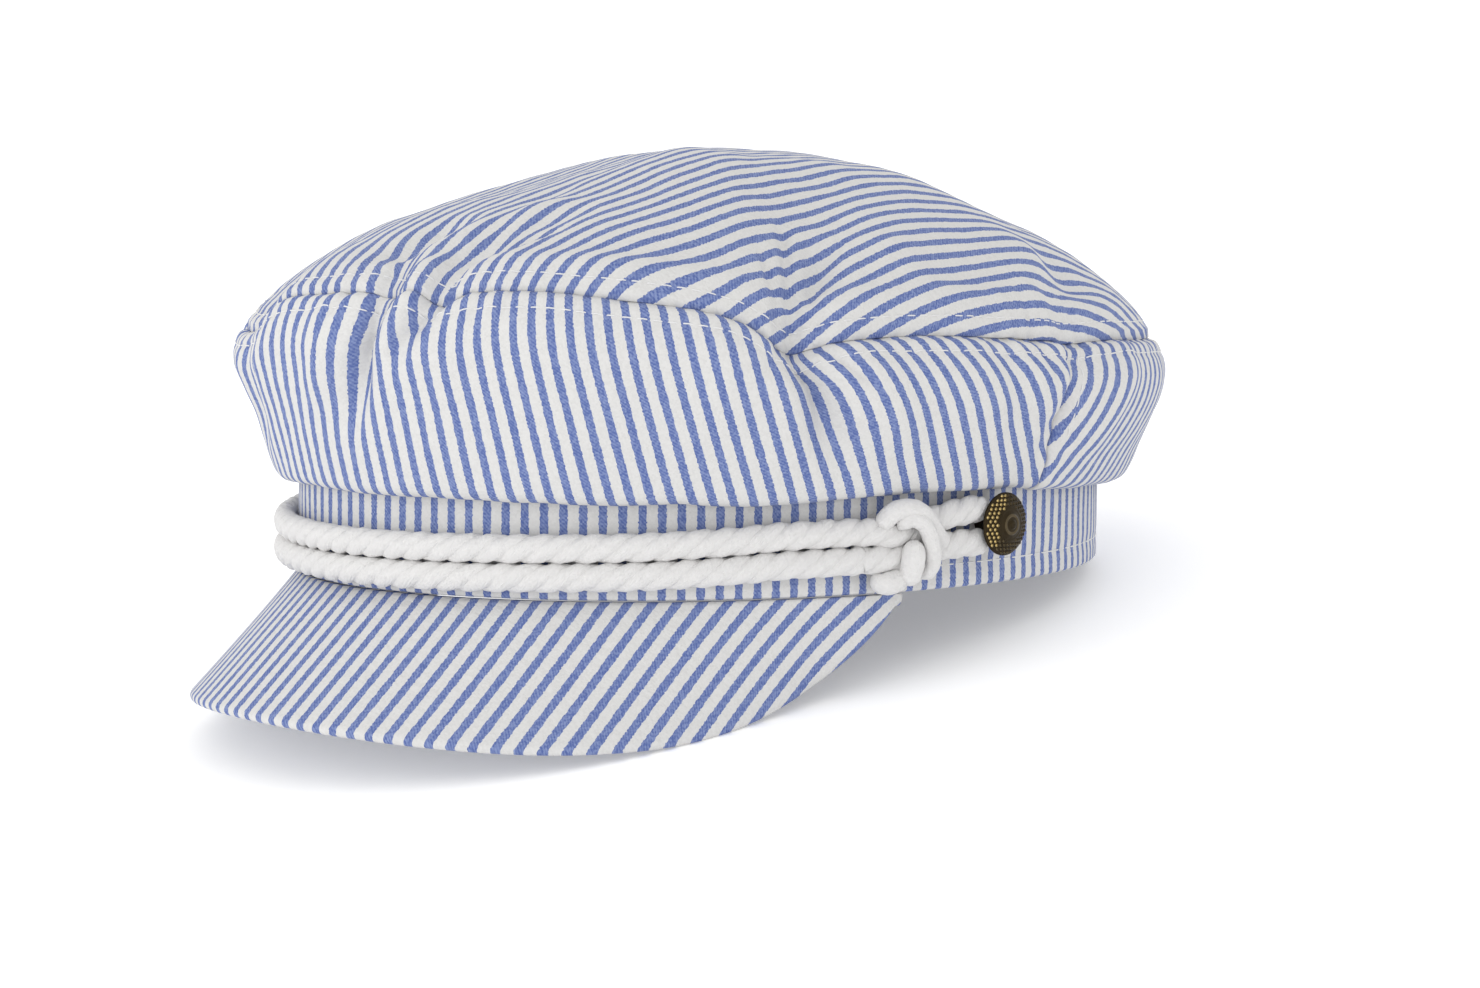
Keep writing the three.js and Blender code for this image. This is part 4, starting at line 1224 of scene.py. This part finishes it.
def add_button(name, side):
    radius, shank = BUTTON_DIAMETER / 2, BUTTON_SHANK_DIAMETER / 2
    rim = KNOT_RUN_DIAMETER + 2 * CLEARANCE
    base = rim + BUTTON_RIM
    shares = np.linspace(1, 0.02, 50)
    ridge = 0.2 * bell((shares - RING_AT) * radius, 0.3)
    dish = 0.1 * smoothstep(0.5 - shares, 0, 0.03)
    boss = 0.3 * smoothstep(BOSS_EDGE - shares, 0, 0.05)
    face = np.stack([radius * shares, base + button_height(shares) + ridge - dish + boss], -1)
    below = np.concatenate([
        [(0.05, CLEARANCE), (shank, CLEARANCE), (shank, rim)],
        np.stack([radius * RIM_PROFILE["share"], rim + RIM_PROFILE["height"]], -1),
    ])
    profile = np.concatenate([below, face])
    turns = np.linspace(0, math.tau, 73)[:-1, None]
    lathe = np.stack(np.broadcast_arrays(
        profile[:, 0] * np.cos(turns), profile[:, 0] * np.sin(turns), profile[:, 1],
    ), -1)
    count, size = lathe.shape[:2]
    faces = [f for f in grid_faces(count, size, True).tolist() if abs(f[0] - f[3]) == 1]
    dots, dot_faces, painted_highlight_faces = button_dots(base, side)
    points = np.concatenate([lathe.reshape(-1, 3), dots])
    dot_faces = [[corner + count * size for corner in corners] for corners in dot_faces]
    angle = side * (KNOT_ANGLE + BUTTON_KNOT_SPACING / knot_rate)
    out = band_out(np.array(angle))
    upward = np.array([0, 0, 1.0])
    across = np.cross(upward, out)
    placed = (
        on_band(angle, 0, knot_height + BUTTON_RISE)
        + points[:, :1] * across + points[:, 1:2] * upward + points[:, 2:] * out
    )
    piece = add_mesh(name, placed, faces + dot_faces, brass_ground)
    piece.data.materials.append(brass_dull)
    piece.data.materials.append(brass_painted_highlight)
    ring = {k for k, share in enumerate(shares, len(below)) if abs(share - RING_AT) < RING_WIDTH}
    # Slot 2, the bright gold on the dots toward the light, is painted highlight
    slots = [1 if corners[0] % size in ring else 0 for corners in faces] + [2 if w else 1 for w in painted_highlight_faces]
    piece.data.polygons.foreach_set("material_index", np.array(slots, np.int32))
    finish_piece(piece, name)


add_button("button_left", 1)
add_button("button_right", -1)

# The floor, the light and the camera

def add_floor():
    bpy.ops.mesh.primitive_plane_add(size=16)
    floor = bpy.context.active_object
    floor.name = "floor"
    material, tree, shader = new_material("floor_white")
    set_inputs(shader, {"Base Color": (0.93, 0.93, 0.93, 1), "Roughness": 0.9, "Specular IOR Level": 0.0})
    set_inputs(shader, {"Emission Color": (1, 1, 1, 1), "Emission Strength": 0.25})
    floor.data.materials.append(material)


def add_light(name, place, aim, size, power):
    data = bpy.data.lights.new(name, "AREA")
    data.shape = "DISK"
    data.size = size
    data.energy = power
    light = bpy.data.objects.new(name, data)
    light.location = place
    light.rotation_mode = "QUATERNION"
    light.rotation_quaternion = (Vector(aim) - Vector(place)).to_track_quat("-Z", "Y")
    bpy.context.scene.collection.objects.link(light)


def set_world(strength):
    world = bpy.data.worlds.new("studio")
    world.use_nodes = True
    set_inputs(world.node_tree.nodes["Background"], {"Color": (1, 1, 1, 1), "Strength": strength})
    bpy.context.scene.world = world


# The camera, in degrees and millimetres: turned from the cap's front and raised round its origin, its roll,
# how far off it is, and how far its aim is off that origin
CAMERA_TURN = 51
CAMERA_RISE = 6.17
CAMERA_ROLL = -0.52
CAMERA_DISTANCE = 913.5
CAMERA_AIM_RIGHT = 0.506
CAMERA_AIM_UP = 0.967
CAMERA_LENS = 90.83


def add_camera():
    turn, rise, roll = (math.radians(a) for a in (CAMERA_TURN, CAMERA_RISE, CAMERA_ROLL))
    level = Matrix.Rotation(turn, 3, "Z") @ Matrix.Rotation(math.pi / 2 - rise, 3, "X")
    axes = Matrix(turn_to_rest.tolist()) @ level @ Matrix.Rotation(-roll, 3, "Z")
    aim = Vector([math.tan(math.radians(a)) for a in (CAMERA_AIM_RIGHT, CAMERA_AIM_UP)] + [-1])
    aimed = Vector((0, 0, -1)).rotation_difference(aim)
    camera = bpy.data.objects.new("camera", bpy.data.cameras.new("camera"))
    camera.data.lens = CAMERA_LENS
    camera.data.clip_start, camera.data.clip_end = 0.05, 20
    camera.rotation_mode = "QUATERNION"
    camera.location = to_rest(level @ Vector((0, 0, CAMERA_DISTANCE)))
    camera.rotation_quaternion = axes.to_quaternion() @ aimed
    bpy.context.scene.collection.objects.link(camera)
    bpy.context.scene.camera = camera


add_floor()
set_world(1.0)
for light_name, light_place in (("key", (-0.8, -1.8, 0.9)), ("fill", (0.9, -1.6, 0.3))):
    add_light(light_name, light_place, aim=(0, 0, 0.05), size=1.2, power=6)
add_camera()
bpy.context.scene.view_settings.view_transform = "Standard"
